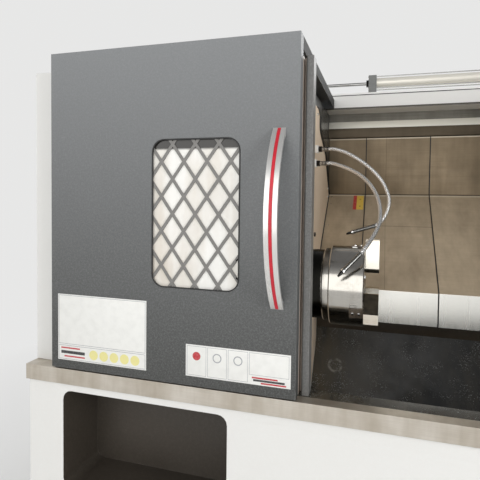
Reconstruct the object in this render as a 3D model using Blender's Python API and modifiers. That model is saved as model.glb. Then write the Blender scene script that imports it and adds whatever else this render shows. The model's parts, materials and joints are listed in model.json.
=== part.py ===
"""Slant-bed turning lathe with its sliding front door open.

Metres, +Z up. X runs along the spindle to the right, Y runs into the machine.
Sizes are written from a datum at the open door's lower right corner, on its front
face. The datum itself is placed so that the machine stands on the origin.
"""
import math

import bmesh
import bpy
from mathutils import Matrix, Vector

# Overall reach, from the datum
LEFT_END = -0.90
HANDLE_REACH = 0.10
FLOOR_DROP = 0.80
SEAT_GAP = 0.0003
RUN_GAP = 0.0005

# Sliding door
DOOR_WIDTH = 0.797
DOOR_HEIGHT = 1.0
DOOR_DEPTH = 0.040
DOOR_TRAVEL = 0.80
DOOR_SHEET = 0.0025
ROOF_DEPTH = 0.908
ROOF_FLANGE = 0.037
WINDOW_LEFT = -0.440
WINDOW_RIGHT = -0.165
WINDOW_LOW = 0.284
WINDOW_HIGH = 0.723
WINDOW_RADIUS = 0.038
GLASS_THICK = 0.006
GLASS_MARGIN = 0.022
GRILLE_THICK = 0.003
GRILLE_STRAND = 0.009
GRILLE_BORDER = 0.006
DIAMOND_WIDE = 0.072
DIAMOND_TALL = 0.102
GASKET_THICK = 0.004
GASKET_PROUD = 0.0015

# Door handle
HANDLE_X = -0.055
HANDLE_WIDE = 0.036
HANDLE_LOW = 0.247
HANDLE_HIGH = 0.745
HANDLE_BAND = 0.010
STRIPE_WIDE = 0.009
STRIPE_DEEP = 0.0015

# Right-hand end, past the door's travel
CHAMBER_PAST_DOOR = 0.37
COVER_PAST_DOOR = 0.70
CHAMBER_RIGHT = DOOR_TRAVEL + CHAMBER_PAST_DOOR
RIGHT_END = DOOR_TRAVEL + COVER_PAST_DOOR

# Top beam behind the door's roof, with the rail that carries the door
BEAM_CLEAR = 0.0023
BEAM_DEEP = 0.1497
BEAM_TALL = 0.065
BEAM_RISE = 0.020
RAIL_LIP = 0.008
RAIL_LIP_WIDE = 0.010
RAIL_LIP_IN = 0.004
BEAM_FRONT = ROOF_DEPTH + BEAM_CLEAR
BEAM_REAR = BEAM_FRONT + BEAM_DEEP
BEAM_TOP = DOOR_HEIGHT + BEAM_RISE
BEAM_BOTTOM = BEAM_TOP - BEAM_TALL

# Chamber. The slope runs back from the lip to the rear wall and breaks upwards there.
WALL_X = -0.03
PLATE_THICK = 0.0025
WALL_THICK = 0.022
REAR_WALL_IN = 0.030
REAR_Y = BEAM_REAR - REAR_WALL_IN
SLOPE_DEG = 38.8
LIP_Y = 0.577
LIP_BOTTOM = 0.086
LIP_TOP = 0.20778
CREASE_Z = LIP_TOP + (REAR_Y - LIP_Y) * math.tan(math.radians(SLOPE_DEG))
COVER_DROP = 0.162
COVER_TOP = DOOR_HEIGHT - COVER_DROP
COVER_SHEET = 0.002
COVER_FIXED_RIGHT = 0.24
COVER_MIDDLE_LEFT = 0.14
COVER_MIDDLE_RIGHT = 0.50
COVER_SADDLE_LEFT = 0.42
COVER_CLEAR = 0.0028
REAR_SHEET = 0.0122
REAR_LEDGE = 0.0148
LEDGE_LOW = 0.070
LEDGE_HIGH = 0.037
PLATE_DROP = 0.095

# Case round the headstock, and the door post
CASE_DROP = 0.0503
CASE_TOP = DOOR_HEIGHT - CASE_DROP
TOP_SHEET = 0.010
END_SHEET = 0.020
COVER_FRONT = 0.052
FRONT_FRAME = 0.092
POST_LEFT = -0.0557
POST_RIGHT = 0.029
POST_FRONT = 0.045
POST_DROP = 0.0022
POST_TOP = CASE_TOP - POST_DROP
POST_GROOVE = 0.012
GROOVE_DEEP = 0.030
LOUVRE_TALL = 0.012
LOUVRE_STEP = 0.034
END_LOUVRES_DROP = 0.330
END_LOUVRES_Y = (0.40, 0.72)
RIGHT_LOUVRES_Y = (0.70, 1.05)
RIGHT_LOUVRES_Z = 0.10
BAR_HOLE_DIA = 0.090
RIGHT_WALL = 0.004

# Electrical cabinet on the back
CABINET_LEFT = -0.30
CABINET_RIGHT = 1.00
CABINET_STANDOFF = 0.040
CABINET_FRONT = BEAM_REAR + CABINET_STANDOFF
CABINET_DEEP = 0.35
CABINET_HIGH = 0.96
CABINET_DOOR = 0.020
CABINET_SHEET = 0.003
CABINET_MARGIN = 0.080
DOOR_LOUVRES_X = (0.55, 0.85)
DRIVES = ((0.18, 0.55, 0.22, 0.30, 0.14), (0.46, 0.55, 0.16, 0.30, 0.12), (0.68, 0.55, 0.16, 0.30, 0.12),
          (0.18, 0.17, 0.55, 0.10, 0.08), (0.85, 0.17, 0.22, 0.22, 0.14))
REAR_FACE = CABINET_FRONT + CABINET_DEEP

# Chip slide, base and sill
SLIDE_SHEET = 0.003
SLIDE_BACK_Y = 0.655
SLIDE_BACK_TOP = 0.12
SLIDE_BREAK_Z = -0.014
PAN_BACK_Y = 0.36
PAN_Z = -0.358
BASE_FRONT = 0.010
BASE_DEEP_BEHIND = 0.30
BASE_REAR = CABINET_FRONT + BASE_DEEP_BEHIND
BASE_TOP = -0.05
BASE_BOTTOM = -0.745
BASE_IN = 0.006
SILL_DROP = 0.050
SILL_TOP = -0.004
SILL_DEEP = 0.098
SILL_SHEET = 0.003
FOOT_RADIUS = 0.045
FOOT_IN_LEFT = 0.120
FOOT_IN_RIGHT = 0.100
FOOT_IN_FRONT = 0.080
FOOT_IN_REAR = 0.100
FOOT_MIDDLE = -0.08
TOE_X = (-0.762, -0.20)
TOE_Z = (-0.40, -0.079)
TOE_DEEP = 0.20
TOE_RADIUS = 0.030
PAN_FRONT_Y = SILL_DEEP + SEAT_GAP + SLIDE_SHEET

# Spindle, chuck and jaws
SPINDLE_Y = 0.287
SPINDLE_Z = 0.274
CHUCK_DIA = 0.254
CHUCK_FRONT = 0.169
CHUCK_BACK = 0.064
CHUCK_BORE = 0.076
CHUCK_EDGE = 0.003
ADAPTER_DIA = 0.236
ADAPTER_BACK = 0.043
NOSE_COVER_DIA = 0.224
NOSE_COVER_WALL = 0.006
NOSE_COVER_RIM = 0.012
NOSE_HOLE_CLEAR = 0.012
SPINDLE_DIA = 0.140
SPINDLE_BORE = 0.066
SPINDLE_LEFT = -0.70
SPINDLE_FLANGE = 0.030
ROTARY_LONG = 0.160
ROTARY_DIA = 0.184
JAW_COUNT = 3
JAW_REACH = 0.043
JAW_INNER = 0.045
JAW_OUTER = 0.150
JAW_WIDE = 0.040
JAW_NECK = 0.020
JAW_TIP = 0.020
JAW_NOSE = 0.014
JAW_STEP = 0.015
JAW_HEEL = 0.030
JAW_BOLT_DIA = 0.019
JAW_BOLT_DEEP = 0.016
JAW_BOLT_INNER = 0.045
JAW_BOLT_OUTER = 0.028
SLOT_CROSS_WIDE = 0.036
SLOT_CROSS_DEEP = 0.014
SLOT_LIP = 0.016

# Headstock, its motor and belt
HEAD_LEFT = -0.50
HEAD_RIGHT = -0.065
HEAD_FRONT = 0.13
HEAD_REAR = 0.80
HEAD_TOP = 0.46
HEAD_CHAMFER = 0.06
PULLEY_LEFT = -0.62
PULLEY_WIDE = 0.080
PULLEY_FLANGE = 0.004
SPINDLE_PULLEY_DIA = 0.190
MOTOR_PULLEY_DIA = 0.140
MOTOR_LEFT = -0.48
MOTOR_LONG = 0.32
MOTOR_SIDE = 0.240
MOTOR_Y = 0.75
MOTOR_Z = 0.61
MOTOR_EDGE = 0.025
MOTOR_FOOT_Y = (0.66, 0.79)
MOTOR_FOOT_IN = 0.020
MOTOR_BOSS_DIA = 0.120
MOTOR_SHAFT_DIA = 0.040
MOTOR_BORE_DEEP = 0.050
MOTOR_STUB = 0.070
BELT_THICK = 0.008
BELT_GAP = 0.0008
BELT_IN = 0.005

# Bed, saddle, turret and tailstock, on the slope
BED_FRONT = 0.66
BED_REAR = CABINET_FRONT - SEAT_GAP
BED_IN = 0.050
BED_DEPTH = 0.075
RAIL_WIDE = 0.045
RAIL_TALL = 0.045
RAIL_LOW_S = 0.31
SADDLE_LEFT = 0.72
SADDLE_LONG = 0.21
SADDLE_TOP = 0.025
SADDLE_LOW_S = 0.20
SADDLE_BELOW_CREASE = 0.0208
RAIL_IN = 0.065
SCREW_OFF_MIDDLE = 0.005
SCREW_DIA = 0.032
SCREW_H = -0.045
SCREW_LEFT = 0.33
SCREW_BEARING = (0.32, 0.36)
SCREW_BLOCK_WALL = 0.014
SCREW_NUT_IN = 0.080
SCREW_NUT_LONG = 0.060
COUPLING_DIA = 0.044
COUPLING_OUT = 0.020
Z_MOTOR_LONG = 0.21
Z_MOTOR_SIDE = 0.130
Z_MOTOR_EDGE = 0.012
Z_MOTOR_FOOT_IN = 0.010
Z_MOTOR_FOOT_SIDE = 0.100
SLIDE_LONG_S = 0.300
SLIDE_THICK = 0.035
TURRET_LEFT = 0.69
TURRET_DISC_DIA = 0.310
TURRET_DISC_WIDE = 0.070
TURRET_S = 0.40
TURRET_BOX = 0.200
STATIONS = 8
TOOL_REACH = 0.195
GUIDE_LEFT = 0.76
TAIL_IN = 0.22
TAIL_LEFT = CHAMBER_RIGHT - TAIL_IN
TAIL_LONG = 0.17
TAIL_HEAD_DIA = 0.150
TAIL_FOOT_S = 0.200
TAIL_FOOT_TALL = 0.045
QUILL_DIA = 0.080
QUILL_OUT = 0.090
CENTRE_DIA = 0.060
TAIL_SEAT = 0.020

# Door hanger, and the cylinder on the top beam that draws the door
HANGER_IN = 0.060
HANGER_LONG = 0.060
HANGER_LEFT = HANGER_IN - DOOR_WIDTH
HANGER_BACK = 0.088
HANGER_THICK = 0.012
HANGER_HALF = 0.020
HANGER_RISE = 0.022
HANGER_CLEAR = 0.025
CYLINDER_IN = 0.0497
CYLINDER_RISE = 0.056
CYLINDER_Y = BEAM_FRONT + CYLINDER_IN
CYLINDER_Z = BEAM_TOP + CYLINDER_RISE
CYLINDER_DIA = 0.046
CYLINDER_WALL = 0.004
CYLINDER_BLOCK = 0.062
HEAD_BLOCK_LONG = 0.0341
TAIL_BLOCK_LONG = 0.036
PISTON_IN = 0.092
PISTON_LONG = 0.020
CYLINDER_HEAD_X = HANGER_LEFT + HANGER_LONG + DOOR_TRAVEL + HANGER_CLEAR
ROD_DIA = 0.014
ROD_NUT_LONG = 0.012
ROD_OUT = 0.022

# Hoses
HOSE_DIA = 0.013
FITTING_SIDE = 0.028
FITTING_DEEP = 0.022
HOSE_NUT_DIA = 0.023
NOZZLE_DIA = 0.014
NOZZLE_RING_DIA = 0.016

# Coolant tank and pump
TANK_LEFT = 0.05
TANK_IN_RIGHT = 0.20
TANK_X = (TANK_LEFT, RIGHT_END - TANK_IN_RIGHT)
TANK_Y = (0.013, 0.60)
TANK_Z = (-0.775, -0.45)
TANK_CLEAR = 0.006
TANK_FOOT_SIDE = 0.060
TANK_FOOT_IN = 0.050
HANDHOLD_X = (0.34, 0.72)
HANDHOLD_LONG = 0.10
HANDHOLD_Z = (-0.60, -0.575)
HANDHOLD_DEEP = 0.018
PUMP_X = TANK_X[1] - 0.065
PUMP_Y = 0.14
PUMP_POCKET = 0.150
PUMP_POCKET_REAR = 0.30
PUMP_POCKET_TOP = -0.12

# Control panel, on the cover at the right of the door
PANEL_PAST_DOOR = 0.13
PANEL_LEFT = DOOR_TRAVEL + PANEL_PAST_DOOR
PANEL_WIDE = 0.47
PANEL_RIGHT = PANEL_LEFT + PANEL_WIDE
PANEL_DROP = 0.10
PANEL_HIGH = DOOR_HEIGHT - PANEL_DROP
PANEL_TALL = 0.62
PANEL_LOW = PANEL_HIGH - PANEL_TALL
PANEL_DEEP = 0.065
PANEL_EDGE = 0.008
SCREEN_IN = 0.045
SCREEN_WIDE = 0.270
SCREEN_DROP = 0.055
SCREEN_TALL = 0.210
SCREEN_DEEP = 0.005
STOP_PLACE = (0.405, 0.100)
START_PLACE = (0.405, 0.200)
OVERRIDE_PLACE = (0.270, 0.200)
WHEEL_PLACE = (0.130, 0.150)

PARTS = bpy.data.collections.new("cnc_turning_lathe")
CUTTERS = bpy.data.collections.new("cutters")
MATERIALS = {}


def clear_scene():
    for old in list(bpy.data.objects):
        bpy.data.objects.remove(old, do_unlink=True)
    bpy.context.scene.collection.children.link(PARTS)
    bpy.context.scene.collection.children.link(CUTTERS)


def paint(name, colour, roughness, metallic=0.0):
    """One Principled material for each finish."""
    material = bpy.data.materials.new(name)
    material.use_nodes = True
    shader = material.node_tree.nodes["Principled BSDF"]
    shader.inputs["Base Color"].default_value = (*colour, 1.0)
    shader.inputs["Roughness"].default_value = roughness
    shader.inputs["Metallic"].default_value = metallic
    material.diffuse_color = (*colour, 1.0)
    MATERIALS[name] = material


def keep(thing, name, finish):
    """Name an object, give it its finish and hang it on the datum."""
    thing.name = name
    thing.data.name = name
    thing.data.materials.clear()
    thing.data.materials.append(MATERIALS[finish])
    for home in list(thing.users_collection):
        home.objects.unlink(thing)
    PARTS.objects.link(thing)
    thing.parent = DATUM
    return thing


def hide_cutter(cutter):
    for home in list(cutter.users_collection):
        home.objects.unlink(cutter)
    CUTTERS.objects.link(cutter)
    cutter.parent = DATUM
    cutter.hide_render = True
    cutter.display_type = "WIRE"
    return cutter


def boolean(thing, cutter, operation="DIFFERENCE"):
    modifier = thing.modifiers.new(operation.lower(), "BOOLEAN")
    modifier.object = hide_cutter(cutter)
    modifier.operation = operation
    modifier.solver = "EXACT"
    return thing


def bevel(thing, width, segments=1):
    modifier = thing.modifiers.new("bevel", "BEVEL")
    modifier.width = width
    modifier.segments = segments
    modifier.limit_method = "ANGLE"
    modifier.angle_limit = math.radians(40)
    return thing


def raw_box(x, y, z):
    """A box between two values on each axis, with its scale applied."""
    size = Vector((x[1] - x[0], y[1] - y[0], z[1] - z[0]))
    middle = Vector((x[1] + x[0], y[1] + y[0], z[1] + z[0])) / 2
    bpy.ops.mesh.primitive_cube_add(size=1.0)
    box = bpy.context.object
    box.data.transform(Matrix.Diagonal((*size, 1.0)))
    box.location = middle
    return box


def block(name, finish, x, y, z, edge=0.0):
    box = keep(raw_box(x, y, z), name, finish)
    if edge:
        bevel(box, edge)
    return box


def raw_cylinder(centre, radius, length, axis="X", sides=32):
    """A cylinder whose middle is at centre."""
    bpy.ops.mesh.primitive_cylinder_add(vertices=sides, radius=radius, depth=length)
    cylinder = bpy.context.object
    turn = {"X": Matrix.Rotation(math.pi / 2, 4, "Y"), "Z": Matrix.Identity(4),
            "Y": Matrix.Rotation(-math.pi / 2, 4, "X")}[axis]
    cylinder.data.transform(turn)
    cylinder.location = centre
    return cylinder


def solid_from_outline(points, low, high, axis="X"):
    """A flat outline drawn as a filled curve, made as thick as low to high, then a mesh.

    The outline is in (Y, Z) for axis X and in (X, Z) for axis Y.
    """
    curve = bpy.data.curves.new("outline", "CURVE")
    curve.dimensions = "2D"
    curve.fill_mode = "BOTH"
    curve.extrude = (high - low) / 2
    spline = curve.splines.new("POLY")
    spline.points.add(len(points) - 1)
    for point, place in zip(spline.points, points):
        point.co = (place[0], place[1], 0.0, 1.0)
    spline.use_cyclic_u = True
    guide = bpy.data.objects.new("outline", curve)
    bpy.context.scene.collection.objects.link(guide)
    middle = (low + high) / 2
    if axis == "X":
        guide.rotation_euler = (math.pi / 2, 0.0, math.pi / 2)
        guide.location = (middle, 0.0, 0.0)
    else:
        guide.rotation_euler = (math.pi / 2, 0.0, 0.0)
        guide.location = (0.0, middle, 0.0)
    bpy.context.view_layer.update()
    graph = bpy.context.evaluated_depsgraph_get()
    mesh = bpy.data.meshes.new_from_object(guide.evaluated_get(graph))
    weld = bmesh.new()
    weld.from_mesh(mesh)
    bmesh.ops.remove_doubles(weld, verts=weld.verts, dist=1e-6)
    bmesh.ops.recalc_face_normals(weld, faces=weld.faces)
    weld.to_mesh(mesh)
    weld.free()
    solid = bpy.data.objects.new("solid", mesh)
    solid.matrix_world = guide.matrix_world.copy()
    bpy.context.scene.collection.objects.link(solid)
    bpy.data.objects.remove(guide, do_unlink=True)
    return solid


def profile(name, finish, points, low, high, axis="X", edge=0.0):
    solid = keep(solid_from_outline(points, low, high, axis), name, finish)
    if edge:
        bevel(solid, edge)
    return solid


def offset_line(points, distance):
    """The open line moved sideways by distance, to the left of its run, with mitred corners."""
    places = [Vector(point) for point in points]
    runs = [(b - a).normalized() for a, b in zip(places, places[1:])]
    sides = [Vector((-run.y, run.x)) for run in runs]
    moved = [places[0] + sides[0] * distance]
    for i in range(1, len(places) - 1):
        mitre = (sides[i - 1] + sides[i]).normalized()
        moved.append(places[i] + mitre * (distance / mitre.dot(sides[i])))
    moved.append(places[-1] + sides[-1] * distance)
    return [tuple(place) for place in moved]


def bent_sheet(name, finish, points, low, high, near, far):
    """A folded sheet along X: the line offset by near on one face and by far on the other."""
    outline = offset_line(points, near) + offset_line(points, far)[::-1]
    return profile(name, finish, outline, low, high)


def spun(name, finish, rings, place, turn, steps):
    """A turned piece. Rings are (radius, run along its axis) down the outer side."""
    mesh = bpy.data.meshes.new(name)
    shape = bmesh.new()
    chain = [shape.verts.new((radius, 0.0, along)) for radius, along in rings]
    for a, b in zip(chain, chain[1:]):
        shape.edges.new((a, b))
    if rings[0][0] > 0.0:
        shape.edges.new((chain[-1], chain[0]))
    shape.to_mesh(mesh)
    shape.free()
    thing = bpy.data.objects.new(name, mesh)
    bpy.context.scene.collection.objects.link(thing)
    keep(thing, name, finish)
    thing.location = place
    thing.rotation_euler = turn
    screw = thing.modifiers.new("screw", "SCREW")
    screw.axis = "Z"
    screw.steps = steps
    screw.render_steps = steps
    screw.use_merge_vertices = True
    screw.merge_threshold = 1e-5
    screw.use_smooth_shade = True
    return thing


def turned(name, finish, rings, left_x, steps=48, y=SPINDLE_Y, z=SPINDLE_Z):
    """A turned piece on an axis along X. Rings are (radius, x after left_x)."""
    return spun(name, finish, rings, (left_x, y, z), (0.0, math.pi / 2, 0.0), steps)


def swept(name, corners, reach):
    """A flat outline of corners in space, swept by the reach into a closed solid."""
    shape = bmesh.new()
    face = shape.faces.new([shape.verts.new(corner) for corner in corners])
    grown = bmesh.ops.extrude_face_region(shape, geom=[face])
    raised = [v for v in grown["geom"] if isinstance(v, bmesh.types.BMVert)]
    bmesh.ops.translate(shape, verts=raised, vec=reach)
    bmesh.ops.recalc_face_normals(shape, faces=shape.faces)
    mesh = bpy.data.meshes.new(name)
    shape.to_mesh(mesh)
    shape.free()
    thing = bpy.data.objects.new(name, mesh)
    bpy.context.scene.collection.objects.link(thing)
    return thing


def arc(centre_a, centre_b, radius, start_deg, end_deg, count):
    points = []
    for i in range(count + 1):
        angle = math.radians(start_deg + (end_deg - start_deg) * i / count)
        points.append((centre_a + radius * math.cos(angle), centre_b + radius * math.sin(angle)))
    return points


def rounded_outline(a, b, radius, count=6):
    """A rectangle with round corners, between two values on each of its axes."""
    points = arc(a[1] - radius, b[1] - radius, radius, 0, 90, count)
    points += arc(a[0] + radius, b[1] - radius, radius, 90, 180, count)
    points += arc(a[0] + radius, b[0] + radius, radius, 180, 270, count)
    points += arc(a[1] - radius, b[0] + radius, radius, 270, 360, count)
    return points


# The slope is measured from the foot of the spindle axis on the way cover's face:
# s runs up the slope and h stands off it, into the chamber.
UP_SLOPE = Vector((math.cos(math.radians(SLOPE_DEG)), math.sin(math.radians(SLOPE_DEG))))
OFF_SLOPE = Vector((-UP_SLOPE.y, UP_SLOPE.x))
SPINDLE_H = (Vector((SPINDLE_Y, SPINDLE_Z)) - Vector((REAR_Y, CREASE_Z))).dot(OFF_SLOPE)
SLOPE_FOOT = Vector((SPINDLE_Y, SPINDLE_Z)) - OFF_SLOPE * SPINDLE_H


def on_slope(s, h):
    """The (Y, Z) place at s up the slope and h off it."""
    return tuple(SLOPE_FOOT + UP_SLOPE * s + OFF_SLOPE * h)


def slope_height(y, h=0.0):
    """Z at depth y on the plane that stands h off the slope."""
    slope = math.radians(SLOPE_DEG)
    return CREASE_Z + (y - REAR_Y) * math.tan(slope) + h / math.cos(slope)


def slope_box(name, finish, x, s, h, edge=0.0):
    corners = [on_slope(s[0], h[0]), on_slope(s[1], h[0]), on_slope(s[1], h[1]), on_slope(s[0], h[1])]
    return profile(name, finish, corners, x[0], x[1], edge=edge)


def raw_slope_box(x, s, h):
    corners = [on_slope(s[0], h[0]), on_slope(s[1], h[0]), on_slope(s[1], h[1]), on_slope(s[0], h[1])]
    return solid_from_outline(corners, x[0], x[1])


CREASE_S = (Vector((REAR_Y, CREASE_Z)) - SLOPE_FOOT).dot(UP_SLOPE)
SADDLE_HIGH_S = CREASE_S - SADDLE_BELOW_CREASE
RAIL_HIGH_S = SADDLE_HIGH_S - RAIL_IN
SCREW_S = (RAIL_LOW_S + RAIL_HIGH_S) / 2 - SCREW_OFF_MIDDLE
COVER_LINE = [(LIP_Y, LIP_BOTTOM), (LIP_Y, LIP_TOP), (REAR_Y, CREASE_Z), (REAR_Y, COVER_TOP)]
SLIDE_LINE = [(PAN_FRONT_Y, BASE_TOP + 0.010), (PAN_FRONT_Y, PAN_Z), (PAN_BACK_Y, PAN_Z),
              (SLIDE_BACK_Y, SLIDE_BREAK_Z), (SLIDE_BACK_Y, SLIDE_BACK_TOP)]


def folded_front(name, left, right):
    """Front panel and roof folded from sheet, open at the back and below, with end flanges."""
    flange = DOOR_HEIGHT - ROOF_FLANGE
    outer = [(0.0, 0.0), (0.0, DOOR_HEIGHT), (ROOF_DEPTH, DOOR_HEIGHT), (ROOF_DEPTH, flange),
             (DOOR_DEPTH, flange), (DOOR_DEPTH, 0.0)]
    shell = profile(name, "door_grey", outer, left, right)
    inside = DOOR_HEIGHT - DOOR_SHEET
    rear = ROOF_DEPTH - DOOR_SHEET
    past = 0.05
    inner = [(DOOR_SHEET, DOOR_SHEET), (DOOR_SHEET, inside), (rear, inside), (rear, flange - past),
             (DOOR_DEPTH + past, flange - past), (DOOR_DEPTH + past, DOOR_SHEET)]
    return boolean(shell, solid_from_outline(inner, left + DOOR_SHEET, right - DOOR_SHEET))


def make_door():
    """The sliding door: folded shell, window, grille, handle and the rod that pulls it."""
    shell = folded_front("door_shell", -DOOR_WIDTH, 0.0)
    window_x = (WINDOW_LEFT, WINDOW_RIGHT)
    window_z = (WINDOW_LOW, WINDOW_HIGH)
    opening = rounded_outline(window_x, window_z, WINDOW_RADIUS)
    boolean(shell, solid_from_outline(opening, -0.02, 0.02, "Y"))

    lip_x = (WINDOW_LEFT + SEAT_GAP, WINDOW_RIGHT - SEAT_GAP)
    lip_z = (WINDOW_LOW + SEAT_GAP, WINDOW_HIGH - SEAT_GAP)
    hole_x = (WINDOW_LEFT + GASKET_THICK, WINDOW_RIGHT - GASKET_THICK)
    hole_z = (WINDOW_LOW + GASKET_THICK, WINDOW_HIGH - GASKET_THICK)
    seal = profile("window_gasket", "black_rubber",
                   rounded_outline(lip_x, lip_z, WINDOW_RADIUS - SEAT_GAP), -GASKET_PROUD, DOOR_SHEET, "Y")
    boolean(seal, solid_from_outline(rounded_outline(hole_x, hole_z, WINDOW_RADIUS - GASKET_THICK),
                                     -0.02, 0.02, "Y"))
    make_grille()

    pane_front = DOOR_SHEET + GRILLE_THICK + 2 * SEAT_GAP
    pane_x = (WINDOW_LEFT - GLASS_MARGIN, WINDOW_RIGHT + GLASS_MARGIN)
    pane_z = (WINDOW_LOW - GLASS_MARGIN, WINDOW_HIGH + GLASS_MARGIN)
    profile("window_glass", "clear_glass", rounded_outline(pane_x, pane_z, WINDOW_RADIUS),
            pane_front, pane_front + GLASS_THICK, "Y")
    make_handle()
    make_door_hanger()


def make_grille():
    """A flat plate behind the window opening, pierced by diamonds in offset rows."""
    x = (WINDOW_LEFT - GLASS_MARGIN, WINDOW_RIGHT + GLASS_MARGIN)
    z = (WINDOW_LOW - GLASS_MARGIN, WINDOW_HIGH + GLASS_MARGIN)
    front = DOOR_SHEET + SEAT_GAP
    plate = profile("window_grille", "door_grey", rounded_outline(x, z, WINDOW_RADIUS),
                    front, front + GRILLE_THICK, "Y")
    slope = math.atan2(DIAMOND_TALL, DIAMOND_WIDE)
    half_x = DIAMOND_WIDE / 2 - GRILLE_STRAND / 2 / math.sin(slope)
    half_z = DIAMOND_TALL / 2 - GRILLE_STRAND / 2 / math.cos(slope)
    centre_x = (WINDOW_LEFT + WINDOW_RIGHT) / 2
    centre_z = (WINDOW_LOW + WINDOW_HIGH) / 2
    low = (WINDOW_LEFT - GRILLE_BORDER, WINDOW_LOW - GRILLE_BORDER)
    high = (WINDOW_RIGHT + GRILLE_BORDER, WINDOW_HIGH + GRILLE_BORDER)
    holes = bmesh.new()
    reach_x = math.ceil((WINDOW_RIGHT - WINDOW_LEFT) / DIAMOND_WIDE) + 1
    reach_z = math.ceil((WINDOW_HIGH - WINDOW_LOW) / DIAMOND_TALL) + 1
    for row in range(-reach_z, reach_z + 1):
        for column in range(-reach_x, reach_x + 1):
            if (row + column) % 2:
                continue
            x_here = centre_x + column * DIAMOND_WIDE / 2
            z_here = centre_z + row * DIAMOND_TALL / 2
            corners = clip_diamond(x_here, z_here, half_x, half_z, low, high)
            if len(corners) < 3:
                continue
            near = [holes.verts.new((px, front - 0.01, pz)) for px, pz in corners]
            face = holes.faces.new(near)
            grown = bmesh.ops.extrude_face_region(holes, geom=[face])
            far = [v for v in grown["geom"] if isinstance(v, bmesh.types.BMVert)]
            bmesh.ops.translate(holes, verts=far, vec=(0.0, GRILLE_THICK + 0.02, 0.0))
    bmesh.ops.recalc_face_normals(holes, faces=holes.faces)
    mesh = bpy.data.meshes.new("diamonds")
    holes.to_mesh(mesh)
    holes.free()
    cutter = bpy.data.objects.new("diamonds", mesh)
    bpy.context.scene.collection.objects.link(cutter)
    boolean(plate, cutter)


def clip_diamond(x, z, half_x, half_z, low, high):
    """The diamond's corners, cut to the window's rectangle; none where too little is left."""
    corners = [(x + half_x, z), (x, z + half_z), (x - half_x, z), (x, z - half_z)]
    limits = [(0, low[0], 1), (0, high[0], -1), (1, low[1], 1), (1, high[1], -1)]
    for axis, limit, sign in limits:
        kept = []
        for i, here in enumerate(corners):
            after = corners[(i + 1) % len(corners)]
            inside = sign * (here[axis] - limit) > 0
            next_inside = sign * (after[axis] - limit) > 0
            if inside:
                kept.append(here)
            if inside != next_inside:
                share = (limit - here[axis]) / (after[axis] - here[axis])
                kept.append((here[0] + share * (after[0] - here[0]), here[1] + share * (after[1] - here[1])))
        corners = kept
    if len(corners) < 3:
        return []
    wide = max(c[0] for c in corners) - min(c[0] for c in corners)
    tall = max(c[1] for c in corners) - min(c[1] for c in corners)
    if min(wide, tall) < GRILLE_STRAND:
        return []
    return corners


def handle_curve(reach, inset, share=1.0, count=14):
    """The handle's side view from low to high: (Y, Z), bowed out by reach at its middle."""
    half = (HANDLE_HIGH - HANDLE_LOW) / 2 - inset
    middle = (HANDLE_HIGH + HANDLE_LOW) / 2
    radius = (half * half + reach * reach) / (2 * reach)
    spread = math.asin(half / radius) * share
    points = []
    for i in range(count + 1):
        angle = -spread + 2 * spread * i / count
        points.append((radius - reach - radius * math.cos(angle), middle + radius * math.sin(angle)))
    return points


def make_handle():
    """An arched band of aluminium, bolted to the door at both ends, with a red inlay."""
    outer = handle_curve(HANDLE_REACH, 0.0)
    inner = handle_curve(HANDLE_REACH - HANDLE_BAND, HANDLE_BAND)
    seat = -SEAT_GAP
    foot = [(seat, HANDLE_HIGH), (seat, HANDLE_HIGH - HANDLE_BAND * 2.2)]
    other = [(seat, HANDLE_LOW + HANDLE_BAND * 2.2), (seat, HANDLE_LOW)]
    keep_inner = [p for p in inner if HANDLE_LOW + HANDLE_BAND * 2.4 < p[1] < HANDLE_HIGH - HANDLE_BAND * 2.4]
    keep_outer = [p for p in outer if p[0] < seat]
    outline = keep_outer + foot + keep_inner[::-1] + other
    x = (HANDLE_X - HANDLE_WIDE / 2, HANDLE_X + HANDLE_WIDE / 2)
    band = profile("handle_band", "aluminium", outline, x[0], x[1])
    groove_x = (HANDLE_X - STRIPE_WIDE / 2, HANDLE_X + STRIPE_WIDE / 2)
    groove_share = 0.92
    floor = handle_curve(HANDLE_REACH - STRIPE_DEEP, STRIPE_DEEP, groove_share)
    clear = handle_curve(HANDLE_REACH + 0.01, -0.01, groove_share)
    boolean(band, solid_from_outline(clear + floor[::-1], groove_x[0] - SEAT_GAP, groove_x[1] + SEAT_GAP))
    strip_share = groove_share - 0.008
    strip_floor = handle_curve(HANDLE_REACH - STRIPE_DEEP + SEAT_GAP, STRIPE_DEEP - SEAT_GAP, strip_share)
    strip_top = handle_curve(HANDLE_REACH - SEAT_GAP, SEAT_GAP, strip_share)
    strip = strip_top + strip_floor[::-1]
    profile("handle_stripe", "red_inlay", strip, groove_x[0], groove_x[1])


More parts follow.
